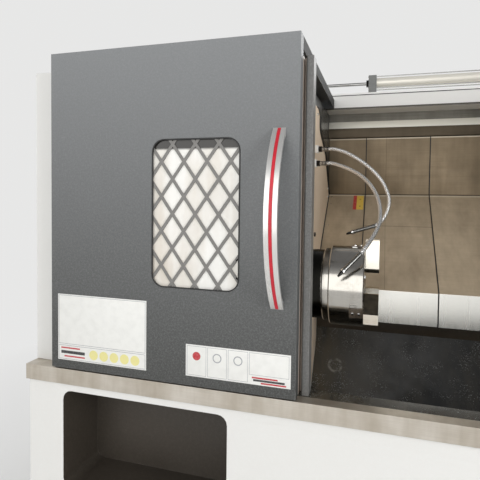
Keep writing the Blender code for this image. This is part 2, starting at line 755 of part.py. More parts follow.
def make_door_hanger():
    """The bracket on the door's roof that runs on the beam's rail, and the cylinder rod in it."""
    foot = DOOR_HEIGHT + SEAT_GAP
    rail_top = BEAM_TOP + RAIL_LIP + RUN_GAP
    top = CYLINDER_Z + HANGER_RISE
    front = ROOF_DEPTH - HANGER_BACK
    rear = ROOF_DEPTH - RAIL_LIP_IN
    outline = [(front, foot), (rear, foot), (rear, rail_top), (CYLINDER_Y + HANGER_HALF, rail_top),
               (CYLINDER_Y + HANGER_HALF, top), (CYLINDER_Y - HANGER_HALF, top), (front, foot + HANGER_THICK)]
    bracket = profile("door_hanger", "door_grey", outline, HANGER_LEFT, HANGER_LEFT + HANGER_LONG)
    radius = ROD_DIA / 2
    hole = raw_cylinder((HANGER_LEFT, CYLINDER_Y, CYLINDER_Z), radius + SEAT_GAP, 4 * HANGER_LONG, sides=16)
    boolean(bracket, hole)
    rod_left = HANGER_LEFT - ROD_OUT
    rod_right = CYLINDER_HEAD_X + PISTON_IN
    piston = CYLINDER_DIA / 2 - CYLINDER_WALL - RUN_GAP
    nut = radius * 1.9
    nut_right = HANGER_LEFT - SEAT_GAP
    turned("cylinder_rod", "steel",
           [(0.0, rod_right), (piston, rod_right), (piston, rod_right - PISTON_LONG),
            (radius, rod_right - PISTON_LONG), (radius, nut_right), (nut, nut_right),
            (nut, nut_right - ROD_NUT_LONG), (radius, nut_right - ROD_NUT_LONG), (radius, rod_left),
            (0.0, rod_left)], 0.0, 16, CYLINDER_Y, CYLINDER_Z)


def make_cylinder():
    """The pneumatic cylinder that works the door, standing on the top beam."""
    cap = 0.004
    head_right = CYLINDER_HEAD_X + HEAD_BLOCK_LONG
    room_left = head_right + cap
    room_right = CYLINDER_HEAD_X + PISTON_IN + DOOR_TRAVEL + cap
    tail_left = room_right + 2 * cap
    tail_right = tail_left + TAIL_BLOCK_LONG
    outer = CYLINDER_DIA / 2
    bore = outer - CYLINDER_WALL
    rod = ROD_DIA / 2 + SEAT_GAP
    rings = [(0.0, tail_right), (outer, tail_right), (outer, CYLINDER_HEAD_X), (rod, CYLINDER_HEAD_X),
             (rod, room_left), (bore, room_left), (bore, room_right), (0.0, room_right)]
    barrel = turned("door_cylinder", "cream_aluminium", rings, 0.0, 20, CYLINDER_Y, CYLINDER_Z)
    half = CYLINDER_BLOCK / 2
    sleeve = outer - 0.0006
    foot = BEAM_TOP + SEAT_GAP
    for low, high in ((CYLINDER_HEAD_X, head_right), (tail_left, tail_right)):
        frame = raw_box((low, high), (CYLINDER_Y - half, CYLINDER_Y + half), (foot, CYLINDER_Z + half))
        core = raw_cylinder(((low + high) / 2, CYLINDER_Y, CYLINDER_Z), sleeve, 4 * TAIL_BLOCK_LONG, sides=20)
        boolean(frame, core)
        boolean(barrel, frame, "UNION")


def make_frame():
    """Base, sill, chip slide, bed, rear wall and the beam over the chamber."""
    under_sill = SILL_TOP - SILL_SHEET - SEAT_GAP
    sill_rear = SILL_DEEP - SILL_SHEET - SEAT_GAP
    base = profile("base_frame", "white_paint",
                   [(BASE_FRONT, BASE_BOTTOM), (BASE_FRONT, under_sill), (sill_rear, under_sill),
                    (sill_rear, BASE_TOP), (BASE_REAR, BASE_TOP), (BASE_REAR, BASE_BOTTOM)],
                   LEFT_END + BASE_IN, RIGHT_END - BASE_IN)
    above = SILL_DEEP
    hollow = offset_line(SLIDE_LINE, -SLIDE_SHEET - SEAT_GAP)
    hollow[0] = (hollow[0][0], above)
    hollow[-1] = (hollow[-1][0], above)
    chamber_x = (WALL_X - PLATE_THICK - 2 * SEAT_GAP, CHAMBER_RIGHT - SEAT_GAP)
    boolean(base, solid_from_outline(hollow, chamber_x[0], chamber_x[1]))
    boolean(base, solid_from_outline(rounded_outline(TOE_X, TOE_Z, TOE_RADIUS, 4), -TOE_DEEP, TOE_DEEP, "Y"))
    tank_x = (TANK_X[0] - TANK_CLEAR, TANK_X[1] + TANK_CLEAR)
    tank_y = (-TANK_Y[1], TANK_Y[1] + TANK_CLEAR)
    boolean(base, raw_box(tank_x, tank_y, (-FLOOR_DROP, TANK_Z[1] + TANK_CLEAR)))
    pocket = PUMP_POCKET / 2
    boolean(base, raw_box((PUMP_X - pocket, PUMP_X + pocket), (-PUMP_POCKET_REAR, PUMP_POCKET_REAR),
                          (TANK_Z[1] - 2 * TANK_CLEAR, PUMP_POCKET_TOP)))
    foot_root = 0.005
    foot_z = (-FLOOR_DROP + BASE_BOTTOM + foot_root) / 2
    for x in (LEFT_END + FOOT_IN_LEFT, FOOT_MIDDLE, RIGHT_END - FOOT_IN_RIGHT):
        for y in (BASE_FRONT + FOOT_IN_FRONT, BASE_REAR - FOOT_IN_REAR):
            foot = raw_cylinder((x, y, foot_z), FOOT_RADIUS, FLOOR_DROP + BASE_BOTTOM + foot_root, "Z", 12)
            boolean(base, foot, "UNION")

    bent_sheet("front_sill", "stainless",
               [(0.0, SILL_TOP - SILL_DROP), (0.0, SILL_TOP), (SILL_DEEP, SILL_TOP),
                (SILL_DEEP, BASE_TOP + SEAT_GAP)],
               LEFT_END, RIGHT_END, -SILL_SHEET, 0.0)
    bent_sheet("chip_slide", "black_tray", SLIDE_LINE, WALL_X + SEAT_GAP, CHAMBER_RIGHT - 2 * SEAT_GAP,
               -SLIDE_SHEET, 0.0)
    make_bed()

    wall = REAR_Y + COVER_CLEAR
    ledge = wall - REAR_LEDGE
    behind = wall + REAR_SHEET
    low = bed_shelf() + SEAT_GAP
    high = BEAM_BOTTOM - SEAT_GAP
    profile("rear_wall", "stainless_brown",
            [(wall, low), (wall, COVER_TOP + SLIDE_SHEET), (ledge, COVER_TOP + SLIDE_SHEET),
             (ledge, BEAM_BOTTOM - LEDGE_LOW), (wall, BEAM_BOTTOM - LEDGE_HIGH), (wall, high),
             (behind, high), (behind, low)],
            LEFT_END + END_SHEET + 0.001, CHAMBER_RIGHT - SEAT_GAP)
    lip = (BEAM_FRONT + RAIL_LIP_IN, BEAM_FRONT + RAIL_LIP_IN + RAIL_LIP_WIDE)
    lip_top = BEAM_TOP + RAIL_LIP
    profile("top_beam", "white_paint",
            [(BEAM_FRONT, BEAM_BOTTOM), (BEAM_FRONT, BEAM_TOP), (lip[0], BEAM_TOP), (lip[0], lip_top),
             (lip[1], lip_top), (lip[1], BEAM_TOP), (BEAM_REAR, BEAM_TOP), (BEAM_REAR, BEAM_BOTTOM)],
            LEFT_END + END_SHEET + 0.001, CHAMBER_RIGHT - SEAT_GAP)
    make_left_wall()
    make_case()


def bed_shelf():
    """Height of the bed's flat shelf behind the slope, which carries the rear wall."""
    return slope_height(REAR_Y + COVER_CLEAR - SEAT_GAP, -BED_DEPTH)


def make_bed():
    """Slant bed with its two rails and the bearing block of the ball screw."""
    shelf = bed_shelf()
    bottom = BASE_TOP + SEAT_GAP
    bed = profile("slant_bed", "cast_grey",
                  [(BED_FRONT, bottom), (BED_FRONT, slope_height(BED_FRONT, -BED_DEPTH)),
                   (REAR_Y + COVER_CLEAR - SEAT_GAP, shelf), (BED_REAR, shelf), (BED_REAR, bottom)],
                  LEFT_END + BED_IN, CHAMBER_RIGHT - SEAT_GAP)
    sunk = 0.01
    block_half = SCREW_DIA / 2 + SCREW_BLOCK_WALL
    bearing = raw_slope_box(SCREW_BEARING, (SCREW_S - block_half, SCREW_S + block_half),
                            (-BED_DEPTH - sunk, SCREW_H + block_half - 0.007))
    boolean(bed, bearing, "UNION")
    screw_y, screw_z = on_slope(SCREW_S, SCREW_H)
    boolean(bed, raw_cylinder((SCREW_LEFT, screw_y, screw_z), SCREW_DIA / 2 + SEAT_GAP, 0.2, sides=20))
    for middle in (RAIL_LOW_S, RAIL_HIGH_S):
        rail = raw_slope_box((0.0, CHAMBER_RIGHT - 0.002), (middle - RAIL_WIDE / 2, middle + RAIL_WIDE / 2),
                             (-BED_DEPTH - sunk, -BED_DEPTH + RAIL_TALL))
        boolean(bed, rail, "UNION")


def make_left_wall():
    """The wall between headstock and chamber, its tan cover plate and the spindle-nose cover."""
    plate_back = WALL_X - PLATE_THICK
    wall_x = (plate_back - SEAT_GAP - WALL_THICK, plate_back - SEAT_GAP)
    wall_front = FRONT_FRAME + SEAT_GAP
    wall_rear = REAR_Y + COVER_CLEAR - REAR_LEDGE - 0.0007
    bed_front = BED_FRONT - SEAT_GAP
    bed_top = slope_height(bed_front, -BED_DEPTH) + 0.006
    foot_front = SILL_DEEP + 0.002
    outline = [(wall_front, SILL_TOP + SEAT_GAP), (wall_front, CASE_TOP), (wall_rear, CASE_TOP),
               (wall_rear, bed_shelf() + 0.004), (bed_front, bed_top), (bed_front, BASE_TOP + SEAT_GAP),
               (foot_front, BASE_TOP + SEAT_GAP), (foot_front, SILL_TOP + SEAT_GAP)]
    wall = profile("left_wall", "dark_paint", outline, wall_x[0], wall_x[1])
    mouth = SPINDLE_DIA / 2 + NOSE_HOLE_CLEAR
    boolean(wall, raw_cylinder((WALL_X, SPINDLE_Y, SPINDLE_Z), mouth, 0.2, sides=40))
    plate_front = FRONT_FRAME + 0.012
    plate_top = DOOR_HEIGHT - PLATE_DROP
    under_slope = 0.006
    corner = 0.182
    low_back = SLIDE_BACK_Y - 0.005
    low_front = LIP_Y - 0.004
    plate_line = [(plate_front, plate_top), (LIP_Y + 0.023, plate_top), (LIP_Y + 0.063, plate_top - 0.025),
                  (LIP_Y + 0.075, plate_top - 0.077), (REAR_Y - corner, CREASE_Z + corner - 0.009),
                  (REAR_Y - 0.008, CREASE_Z), (LIP_Y + 0.253, slope_height(LIP_Y + 0.253) + under_slope),
                  (LIP_Y + 0.138, slope_height(LIP_Y + 0.138) + under_slope), (low_front, LIP_TOP - 0.003),
                  (low_front, LIP_BOTTOM), (low_back, LIP_BOTTOM - 0.020), (low_back, SLIDE_BREAK_Z - 0.004),
                  (PAN_BACK_Y - 0.010, PAN_Z + 0.006), (plate_front, PAN_Z + 0.006)]
    plate = profile("left_wall_plate", "stainless_tan", plate_line, plate_back, WALL_X)
    boolean(plate, raw_cylinder((WALL_X, SPINDLE_Y, SPINDLE_Z), mouth, 0.1, sides=40))
    outer = NOSE_COVER_DIA / 2
    inner = outer - NOSE_COVER_WALL
    rim = outer + NOSE_COVER_RIM
    length = ADAPTER_BACK - 0.003 - WALL_X - SEAT_GAP
    lip = 0.002
    turned("nose_cover", "black_steel",
           [(inner, length), (outer - lip, length), (outer, length - lip), (outer, NOSE_COVER_RIM),
            (rim, NOSE_COVER_RIM), (rim, 0.0), (mouth, 0.0), (mouth, 4 * lip), (inner, 4 * lip)],
           WALL_X + SEAT_GAP, 40)


def make_case():
    """Covers of the headstock, the door post and the right-hand front, end and roof."""
    back = POST_FRONT + GROOVE_DEEP
    lip = 0.002
    groove = POST_GROOVE - 2 * lip
    post = [(POST_LEFT, POST_FRONT), (0.0, POST_FRONT), (0.0, back), (groove, back), (groove, POST_FRONT + lip),
            (POST_GROOVE, POST_FRONT), (POST_RIGHT, POST_FRONT), (POST_RIGHT, FRONT_FRAME),
            (POST_LEFT, FRONT_FRAME)]
    foot = SILL_TOP + SEAT_GAP
    standing = swept("door_post", [(x, y, foot) for x, y in post], (0.0, 0.0, POST_TOP - foot))
    keep(standing, "door_post", "post_grey")
    under = CASE_TOP + SEAT_GAP
    over = CASE_TOP + TOP_SHEET
    rear = BEAM_FRONT - 2 * SEAT_GAP
    cover = [(COVER_FRONT, SILL_TOP + SEAT_GAP), (COVER_FRONT, over), (rear, over), (rear, under),
             (FRONT_FRAME, under), (FRONT_FRAME, SILL_TOP + SEAT_GAP)]
    profile("headstock_cover", "white_paint", cover, LEFT_END, POST_LEFT - SEAT_GAP)

    past = 0.1
    end = block("left_end_cover", "white_paint", (LEFT_END, LEFT_END + END_SHEET),
                (FRONT_FRAME + SEAT_GAP, BED_REAR), (BASE_TOP + SEAT_GAP, CASE_TOP))
    boolean(end, raw_box((LEFT_END - past, LEFT_END + past), (0.0, SILL_DEEP + SILL_SHEET),
                         (2 * BASE_TOP, SILL_TOP + SEAT_GAP)))
    boolean(end, raw_cylinder((LEFT_END, SPINDLE_Y, SPINDLE_Z), BAR_HOLE_DIA / 2, 2 * past, sides=28))
    cut_louvres(end, (LEFT_END - past, LEFT_END + past), END_LOUVRES_Y, CASE_TOP - END_LOUVRES_DROP, 6)

    folded_front("right_front_cover", DOOR_TRAVEL + 0.003, RIGHT_END)
    inside = RIGHT_END - DOOR_SHEET
    roof = DOOR_HEIGHT - ROOF_FLANGE
    right = block("right_end_cover", "white_paint", (CHAMBER_RIGHT, inside - SEAT_GAP),
                  (DOOR_DEPTH + SEAT_GAP, BASE_REAR - 0.003), (BASE_TOP + SEAT_GAP, roof - SEAT_GAP))
    boolean(right, raw_box((0.0, 2 * RIGHT_END), (-SILL_DEEP, SILL_DEEP + 0.002),
                           (2 * BASE_TOP, SILL_TOP + SEAT_GAP)))
    boolean(right, raw_box((CHAMBER_RIGHT + RIGHT_WALL, inside - RIGHT_WALL),
                           (FRONT_FRAME + END_SHEET, BASE_REAR + past), (BASE_TOP - past, roof - RIGHT_WALL)))
    screw_y, screw_z = on_slope(SCREW_S, SCREW_H)
    boolean(right, raw_cylinder((CHAMBER_RIGHT, screw_y, screw_z), COUPLING_DIA / 2 + 0.008, past, sides=24))
    cut_louvres(right, (RIGHT_END - past / 2, RIGHT_END + past), RIGHT_LOUVRES_Y, RIGHT_LOUVRES_Z, 5)


def cut_louvres(sheet, x, y, low, rows):
    """A column of ventilation slots through a sheet."""
    for row in range(rows):
        z = low + row * LOUVRE_STEP
        boolean(sheet, raw_box(x, y, (z, z + LOUVRE_TALL)))


def make_way_covers():
    """Folded stainless covers over the bed: one fixed and two that telescope over it."""
    sheet = COVER_SHEET
    step = COVER_SHEET + RUN_GAP
    bent_sheet("way_cover_fixed", "stainless_brown", COVER_LINE, WALL_X + SEAT_GAP, COVER_FIXED_RIGHT,
               -sheet, 0.0)
    bent_sheet("way_cover_middle", "stainless_brown", COVER_LINE, COVER_MIDDLE_LEFT, COVER_MIDDLE_RIGHT,
               step - sheet, step)
    bent_sheet("way_cover_saddle", "stainless_brown", COVER_LINE, COVER_SADDLE_LEFT, SADDLE_LEFT - SEAT_GAP,
               2 * step - sheet, 2 * step)


def make_headstock():
    """Headstock casting with the spindle, its pulley, belt and motor, and the chucking cylinder."""
    bottom = BASE_TOP + SEAT_GAP
    seat = -BED_DEPTH + SEAT_GAP
    foot_rear = BED_FRONT - SEAT_GAP
    outline = [(HEAD_FRONT, bottom), (HEAD_FRONT, HEAD_TOP - HEAD_CHAMFER),
               (HEAD_FRONT + HEAD_CHAMFER, HEAD_TOP), (HEAD_REAR, HEAD_TOP),
               (HEAD_REAR, slope_height(HEAD_REAR, seat)),
               (foot_rear, slope_height(foot_rear, seat)), (foot_rear, bottom)]
    casting = profile("headstock_casting", "cast_grey", outline, HEAD_LEFT, HEAD_RIGHT)
    shaft = SPINDLE_DIA / 2
    middle = (HEAD_LEFT + HEAD_RIGHT) / 2
    boolean(casting, raw_cylinder((middle, SPINDLE_Y, SPINDLE_Z), shaft + SEAT_GAP, 0.8, sides=48))

    bore = SPINDLE_BORE / 2
    nose = ADAPTER_BACK - SEAT_GAP
    flange = NOSE_COVER_DIA / 2 - NOSE_COVER_WALL - 0.0015
    turned("spindle_shaft", "steel",
           [(bore, nose), (flange, nose), (flange, nose - SPINDLE_FLANGE), (shaft, nose - SPINDLE_FLANGE),
            (shaft, SPINDLE_LEFT), (bore, SPINDLE_LEFT)], 0.0, 36)
    make_pulley("spindle_pulley", SPINDLE_PULLEY_DIA / 2, shaft + SEAT_GAP, SPINDLE_Y, SPINDLE_Z)
    outer = ROTARY_DIA / 2
    neck = outer - 0.022
    cap = outer - 0.032
    turned("rotary_cylinder", "steel",
           [(bore, ROTARY_LONG), (cap, ROTARY_LONG), (cap, ROTARY_LONG - 0.030), (outer, ROTARY_LONG - 0.035),
            (outer, ROTARY_LONG - 0.105), (neck, ROTARY_LONG - 0.110), (neck, 0.010), (cap, 0.0), (bore, 0.0)],
           SPINDLE_LEFT - ROTARY_LONG - SEAT_GAP, 28)
    make_motor()
    make_belt()


def make_pulley(name, radius, bore, y, z):
    """A timing pulley with a flange at each side."""
    wide = PULLEY_WIDE
    side = PULLEY_FLANGE
    rim = radius + BELT_THICK + side
    return turned(name, "steel",
                  [(bore, wide), (rim, wide), (rim, wide - side), (radius, wide - side), (radius, side),
                   (rim, side), (rim, 0.0), (bore, 0.0)], PULLEY_LEFT, 36, y, z)


def make_motor():
    """Spindle motor on the headstock, with its pulley's stub shaft in a bore."""
    half = MOTOR_SIDE / 2
    right = MOTOR_LEFT + MOTOR_LONG
    body = block("spindle_motor", "dark_paint", (MOTOR_LEFT, right), (MOTOR_Y - half, MOTOR_Y + half),
                 (MOTOR_Z - half, MOTOR_Z + half))
    bevel(body, MOTOR_EDGE, 3)
    foot = raw_box((MOTOR_LEFT + MOTOR_FOOT_IN, right - MOTOR_FOOT_IN), MOTOR_FOOT_Y,
                   (HEAD_TOP + SEAT_GAP, MOTOR_Z - half + MOTOR_FOOT_IN))
    boolean(body, foot, "UNION")
    sunk = 0.01
    boss_left = PULLEY_LEFT + PULLEY_WIDE + BELT_IN
    boss_right = MOTOR_LEFT + sunk
    boss = raw_cylinder(((boss_left + boss_right) / 2, MOTOR_Y, MOTOR_Z), MOTOR_BOSS_DIA / 2,
                        boss_right - boss_left, sides=28)
    boolean(body, boss, "UNION")
    radius = MOTOR_SHAFT_DIA / 2
    pulley = make_pulley("motor_pulley", MOTOR_PULLEY_DIA / 2, 0.0, MOTOR_Y, MOTOR_Z)
    bore_end = boss_left + MOTOR_BORE_DEEP
    boolean(body, raw_cylinder((bore_end - 0.10, MOTOR_Y, MOTOR_Z), radius + RUN_GAP, 0.20, sides=24))
    stub = raw_cylinder((bore_end - SEAT_GAP - MOTOR_STUB / 2, MOTOR_Y, MOTOR_Z), radius, MOTOR_STUB, sides=24)
    boolean(pulley, stub, "UNION")


def make_belt():
    """An open belt round both pulleys, a running gap off each."""
    first = Vector((SPINDLE_Y, SPINDLE_Z))
    second = Vector((MOTOR_Y, MOTOR_Z))
    span = second - first
    big = SPINDLE_PULLEY_DIA / 2
    small = MOTOR_PULLEY_DIA / 2
    lean = math.degrees(math.acos((big - small) / span.length))
    along = math.degrees(math.atan2(span.y, span.x))

    def loop(grow):
        points = arc(first.x, first.y, big + grow, along + lean, along + 360 - lean, 16)
        return points + arc(second.x, second.y, small + grow, along - lean, along + lean, 16)

    inner = BELT_GAP
    low = PULLEY_LEFT + BELT_IN
    high = PULLEY_LEFT + PULLEY_WIDE - BELT_IN
    belt = profile("drive_belt", "black_rubber", loop(inner + BELT_THICK), low, high)
    boolean(belt, solid_from_outline(loop(inner), low - 0.1, high + 0.1))


def make_chuck():
    """Back plate, three-jaw power chuck with T-slots through to its rim, and stepped jaws."""
    adapter = ADAPTER_DIA / 2
    bore = CHUCK_BORE / 2
    edge = CHUCK_EDGE
    front = CHUCK_BACK - SEAT_GAP
    turned("chuck_adapter", "steel",
           [(bore, front), (adapter, front), (adapter, ADAPTER_BACK + edge), (adapter - edge, ADAPTER_BACK),
            (bore, ADAPTER_BACK)], 0.0)
    radius = CHUCK_DIA / 2
    body = turned("chuck_body", "chuck_steel",
                  [(bore, CHUCK_FRONT), (radius - edge, CHUCK_FRONT), (radius, CHUCK_FRONT - edge),
                   (radius, CHUCK_BACK + edge), (radius - edge, CHUCK_BACK), (bore, CHUCK_BACK)], 0.0, 64)
    for index in range(JAW_COUNT):
        angle = index * 2 * math.pi / JAW_COUNT
        boolean(body, radial(slot_outline(SEAT_GAP, CHUCK_FRONT + SLOT_LIP), 0.0, CHUCK_DIA, angle))
        make_jaw(index + 1, angle)


def about_spindle(thing, angle):
    thing.location = (0.0, SPINDLE_Y, SPINDLE_Z)
    thing.rotation_euler = (angle, 0.0, 0.0)
    return thing


def radial(points, low, high, angle):
    """An outline in (across, X) swept radially from low to high, then turned about the spindle."""
    solid = swept("radial", [(x, across, low) for across, x in points], (0.0, 0.0, high - low))
    return about_spindle(solid, angle)


def facing(points, low, high, angle):
    """An outline in (across, radius) made thick along X, then turned about the spindle."""
    solid = swept("facing", [(low, across, reach) for across, reach in points], (high - low, 0.0, 0.0))
    return about_spindle(solid, angle)


def slot_outline(grow, face):
    """The T of a jaw way, in (across, X), with its neck open at the chuck's face."""
    neck = JAW_NECK / 2 + grow
    cross = SLOT_CROSS_WIDE / 2 + grow
    lip = CHUCK_FRONT - SLOT_LIP + grow
    floor = CHUCK_FRONT - SLOT_LIP - SLOT_CROSS_DEEP - grow
    return [(-neck, face), (-neck, lip), (-cross, lip), (-cross, floor), (cross, floor), (cross, lip),
            (neck, lip), (neck, face)]


def make_jaw(number, angle):
    """A master jaw in its T-slot with a stepped top jaw bolted on, as one piece."""
    outer = CHUCK_DIA / 2 - CHUCK_EDGE - 0.001
    face = CHUCK_FRONT + SEAT_GAP
    jaw = radial(slot_outline(0.0, face + 0.001), JAW_INNER + 0.004, outer, angle)
    keep(jaw, "jaw_%d" % number, "chuck_steel")
    half = JAW_WIDE / 2
    tip = JAW_TIP / 2
    top = CHUCK_FRONT + JAW_REACH
    low = top - JAW_STEP
    past = top + JAW_OUTER
    nose = JAW_INNER + JAW_NOSE
    flat = [(half, JAW_OUTER), (-half, JAW_OUTER), (-half, nose), (-tip, JAW_INNER), (tip, JAW_INNER),
            (half, nose)]
    boolean(jaw, facing(flat, face, top, angle), "UNION")
    step = [(-JAW_WIDE, low), (JAW_WIDE, low), (JAW_WIDE, past), (-JAW_WIDE, past)]
    boolean(jaw, radial(step, 0.0, JAW_INNER + JAW_HEEL, angle))
    for along in (JAW_INNER + JAW_BOLT_INNER, JAW_OUTER - JAW_BOLT_OUTER):
        hole = facing(arc(0.0, along, JAW_BOLT_DIA / 2, 0, 360 - 22.5, 15), top - JAW_BOLT_DEEP, past, angle)
        boolean(jaw, hole)
    return jaw


def make_saddle():
    """Saddle on the Z rails, with its screw and motor, and the cross slide that carries the turret."""
    right = SADDLE_LEFT + SADDLE_LONG
    seat = -BED_DEPTH + RAIL_TALL + RUN_GAP
    saddle = slope_box("saddle", "cast_grey", (SADDLE_LEFT, right), (SADDLE_LOW_S, SADDLE_HIGH_S),
                       (seat, SADDLE_TOP))
    radius = SCREW_DIA / 2
    wall = radius + SCREW_BLOCK_WALL
    nut_left = SADDLE_LEFT + SCREW_NUT_IN
    nut = raw_slope_box((nut_left, nut_left + SCREW_NUT_LONG), (SCREW_S - wall, SCREW_S + wall),
                        (-BED_DEPTH + 0.003, seat + 0.01))
    boolean(saddle, nut, "UNION")
    screw_y, screw_z = on_slope(SCREW_S, SCREW_H)
    boolean(saddle, raw_cylinder((nut_left, screw_y, screw_z), radius + SEAT_GAP, 0.6, sides=20))
    coupling = COUPLING_DIA / 2
    hub = 0.012
    screw_right = CHAMBER_RIGHT + COUPLING_OUT
    turned("z_ballscrew", "steel",
           [(0.0, screw_right), (coupling, screw_right), (coupling, screw_right - hub),
            (radius, screw_right - hub), (radius, SCREW_LEFT), (0.0, SCREW_LEFT)],
           0.0, 20, screw_y, screw_z)
    half = Z_MOTOR_SIDE / 2
    foot_half = Z_MOTOR_FOOT_SIDE / 2
    motor_right = screw_right + Z_MOTOR_LONG
    motor = block("z_motor", "dark_paint", (screw_right + SEAT_GAP, motor_right),
                  (screw_y - half, screw_y + half), (screw_z - half, screw_z + half))
    bevel(motor, Z_MOTOR_EDGE, 2)
    foot_x = (screw_right + Z_MOTOR_FOOT_IN, motor_right - 4 * Z_MOTOR_FOOT_IN)
    boolean(motor, raw_box(foot_x, (screw_y - foot_half, screw_y + foot_half),
                           (BASE_TOP + SEAT_GAP, screw_z - half + Z_MOTOR_FOOT_IN)), "UNION")

    low_h = SADDLE_TOP + SEAT_GAP
    base_h = SADDLE_TOP + SLIDE_THICK
    side = 0.010
    disc_right = TURRET_LEFT + TURRET_DISC_WIDE
    base_x = (disc_right + 1.5 * side, right - side)
    base_s = (TURRET_S - SLIDE_LONG_S / 2, TURRET_S + SLIDE_LONG_S / 2)
    slide = slope_box("cross_slide", "cast_grey", base_x, base_s, (low_h, base_h))
    box = TURRET_BOX / 2
    house_x = (disc_right + RUN_GAP, right - 2 * side)
    housing = raw_slope_box((base_x[0] + side / 5, house_x[1]), (TURRET_S - box, TURRET_S + box),
                            (base_h - side, SPINDLE_H + box))
    bevel(housing, 2 * side, 2)
    boolean(slide, housing, "UNION")
    turret_y, turret_z = on_slope(TURRET_S, SPINDLE_H)
    hub_right = house_x[1] - 2 * side
    hub = raw_cylinder(((house_x[0] + hub_right) / 2, turret_y, turret_z), box * 0.80,
                       hub_right - house_x[0], sides=40)
    boolean(slide, hub, "UNION")
    make_turret(turret_y, turret_z)


def make_turret(y, z):
    """Eight-station turret disc with a clamp block and a square tool at every station."""
    radius = TURRET_DISC_DIA / 2
    wide = TURRET_DISC_WIDE
    disc = turned("turret_disc", "steel",
                  [(0.0, wide), (radius - 0.010, wide), (radius, wide - 0.010), (radius, 0.010),
                   (radius - 0.010, 0.0), (0.060, 0.0), (0.055, -0.012), (0.0, -0.012)],
                  TURRET_LEFT, STATIONS * 3, y, z)
    for station in range(STATIONS):
        angle = station * 2 * math.pi / STATIONS
        turn = Matrix.Rotation(angle, 4, "X")
        for across, along, root, low, high in ((0.026, 0.012, 0.006, radius - 0.055, radius - 0.013),
                                               (0.010, 0.034, 0.003, radius - 0.062, TOOL_REACH)):
            tool = raw_box((-along, root), (-across, across), (low, high))
            shift = Matrix.Translation(tool.location)
            tool.data.transform(turn @ shift)
            tool.location = (TURRET_LEFT, y, z)
            boolean(disc, tool, "UNION")


def make_tailstock():
    """Guide, tailstock body and the quill with its live centre."""
    seat = offset_line(SLIDE_LINE, SEAT_GAP)
    lower = Vector(seat[2])
    upper = Vector(seat[3])
    low_foot = lower + (upper - lower) * 0.18
    high_foot = lower + (upper - lower) * 0.985
    half = TAIL_FOOT_S / 2
    shoulder = 0.005
    outline = [tuple(low_foot), on_slope(-half - 3 * shoulder, TAIL_SEAT), on_slope(half + shoulder, TAIL_SEAT),
               (high_foot.x, SLIDE_BACK_TOP - 0.05), tuple(high_foot)]
    profile("tailstock_guide", "cast_grey", outline, GUIDE_LEFT, CHAMBER_RIGHT - SEAT_GAP)
    foot = TAIL_SEAT + RUN_GAP
    step = foot + TAIL_FOOT_TALL
    crown = arc(SPINDLE_Y, SPINDLE_Z, TAIL_HEAD_DIA / 2, SLOPE_DEG, SLOPE_DEG + 180, 12)
    shape = [on_slope(-half, foot), on_slope(half, foot), on_slope(half, step)] + crown
    shape += [on_slope(-half, step)]
    tail_right = TAIL_LEFT + TAIL_LONG
    body = profile("tailstock_body", "cast_grey", shape, TAIL_LEFT, tail_right)
    quill = QUILL_DIA / 2
    boolean(body, raw_cylinder((TAIL_LEFT, SPINDLE_Y, SPINDLE_Z), quill + SEAT_GAP, 0.6, sides=24))
    end = TAIL_LEFT - QUILL_OUT
    centre = CENTRE_DIA / 2
    turned("tailstock_quill", "steel",
           [(0.0, tail_right - 0.010), (quill, tail_right - 0.010), (quill, end), (quill - 0.004, end - 0.004),
            (centre, end - 0.004), (centre, end - 0.030), (centre - 0.010, end - 0.038), (0.0, end - 0.070)],
           0.0, 24)


def smooth_route(points, spacing):
    """Places a spacing apart on a smooth curve through the route's points."""
    places = [Vector(point) for point in points]
    ends = [places[0] * 2 - places[1]] + places + [places[-1] * 2 - places[-2]]
    fine = []
    for i in range(1, len(ends) - 2):
        before, here, there, after = ends[i - 1:i + 3]
        for step in range(12):
            t = step / 12
            fine.append(0.5 * (2 * here + (there - before) * t
                               + (2 * before - 5 * here + 4 * there - after) * t * t
                               + (3 * here - before - 3 * there + after) * t ** 3))
    fine.append(places[-1])
    length = sum((b - a).length for a, b in zip(fine, fine[1:]))
    count = max(2, round(length / spacing))
    wanted = [length * i / count for i in range(count + 1)]
    route = []
    run = 0.0
    for a, b in zip(fine, fine[1:]):
        piece = (b - a).length
        while wanted and run + piece >= wanted[0] - 1e-9:
            route.append(a.lerp(b, (wanted.pop(0) - run) / piece))
        run += piece
    return route


UPPER_ROUTE = [(0.0153, 0.520, 0.738), (0.040, 0.520, 0.7375), (0.068, 0.519, 0.730), (0.101, 0.516, 0.715),
               (0.146, 0.511, 0.686), (0.181, 0.504, 0.656), (0.210, 0.497, 0.623), (0.228, 0.489, 0.591),
               (0.239, 0.480, 0.557), (0.238, 0.471, 0.525), (0.228, 0.463, 0.496), (0.213, 0.456, 0.473),
               (0.195, 0.449, 0.459)]
UPPER_TIP = (0.097, 0.440, 0.428)
LOWER_ROUTE = [(0.0153, 0.470, 0.681), (0.044, 0.4695, 0.680), (0.080, 0.460, 0.668), (0.116, 0.444, 0.651),
               (0.148, 0.421, 0.630), (0.175, 0.394, 0.603), (0.195, 0.366, 0.572), (0.207, 0.335, 0.539),
               (0.211, 0.304, 0.507), (0.209, 0.271, 0.479), (0.200, 0.240, 0.455), (0.188, 0.209, 0.434),
               (0.174, 0.181, 0.413), (0.158, 0.158, 0.392)]
LOWER_TIP = (0.099, 0.105, 0.331)


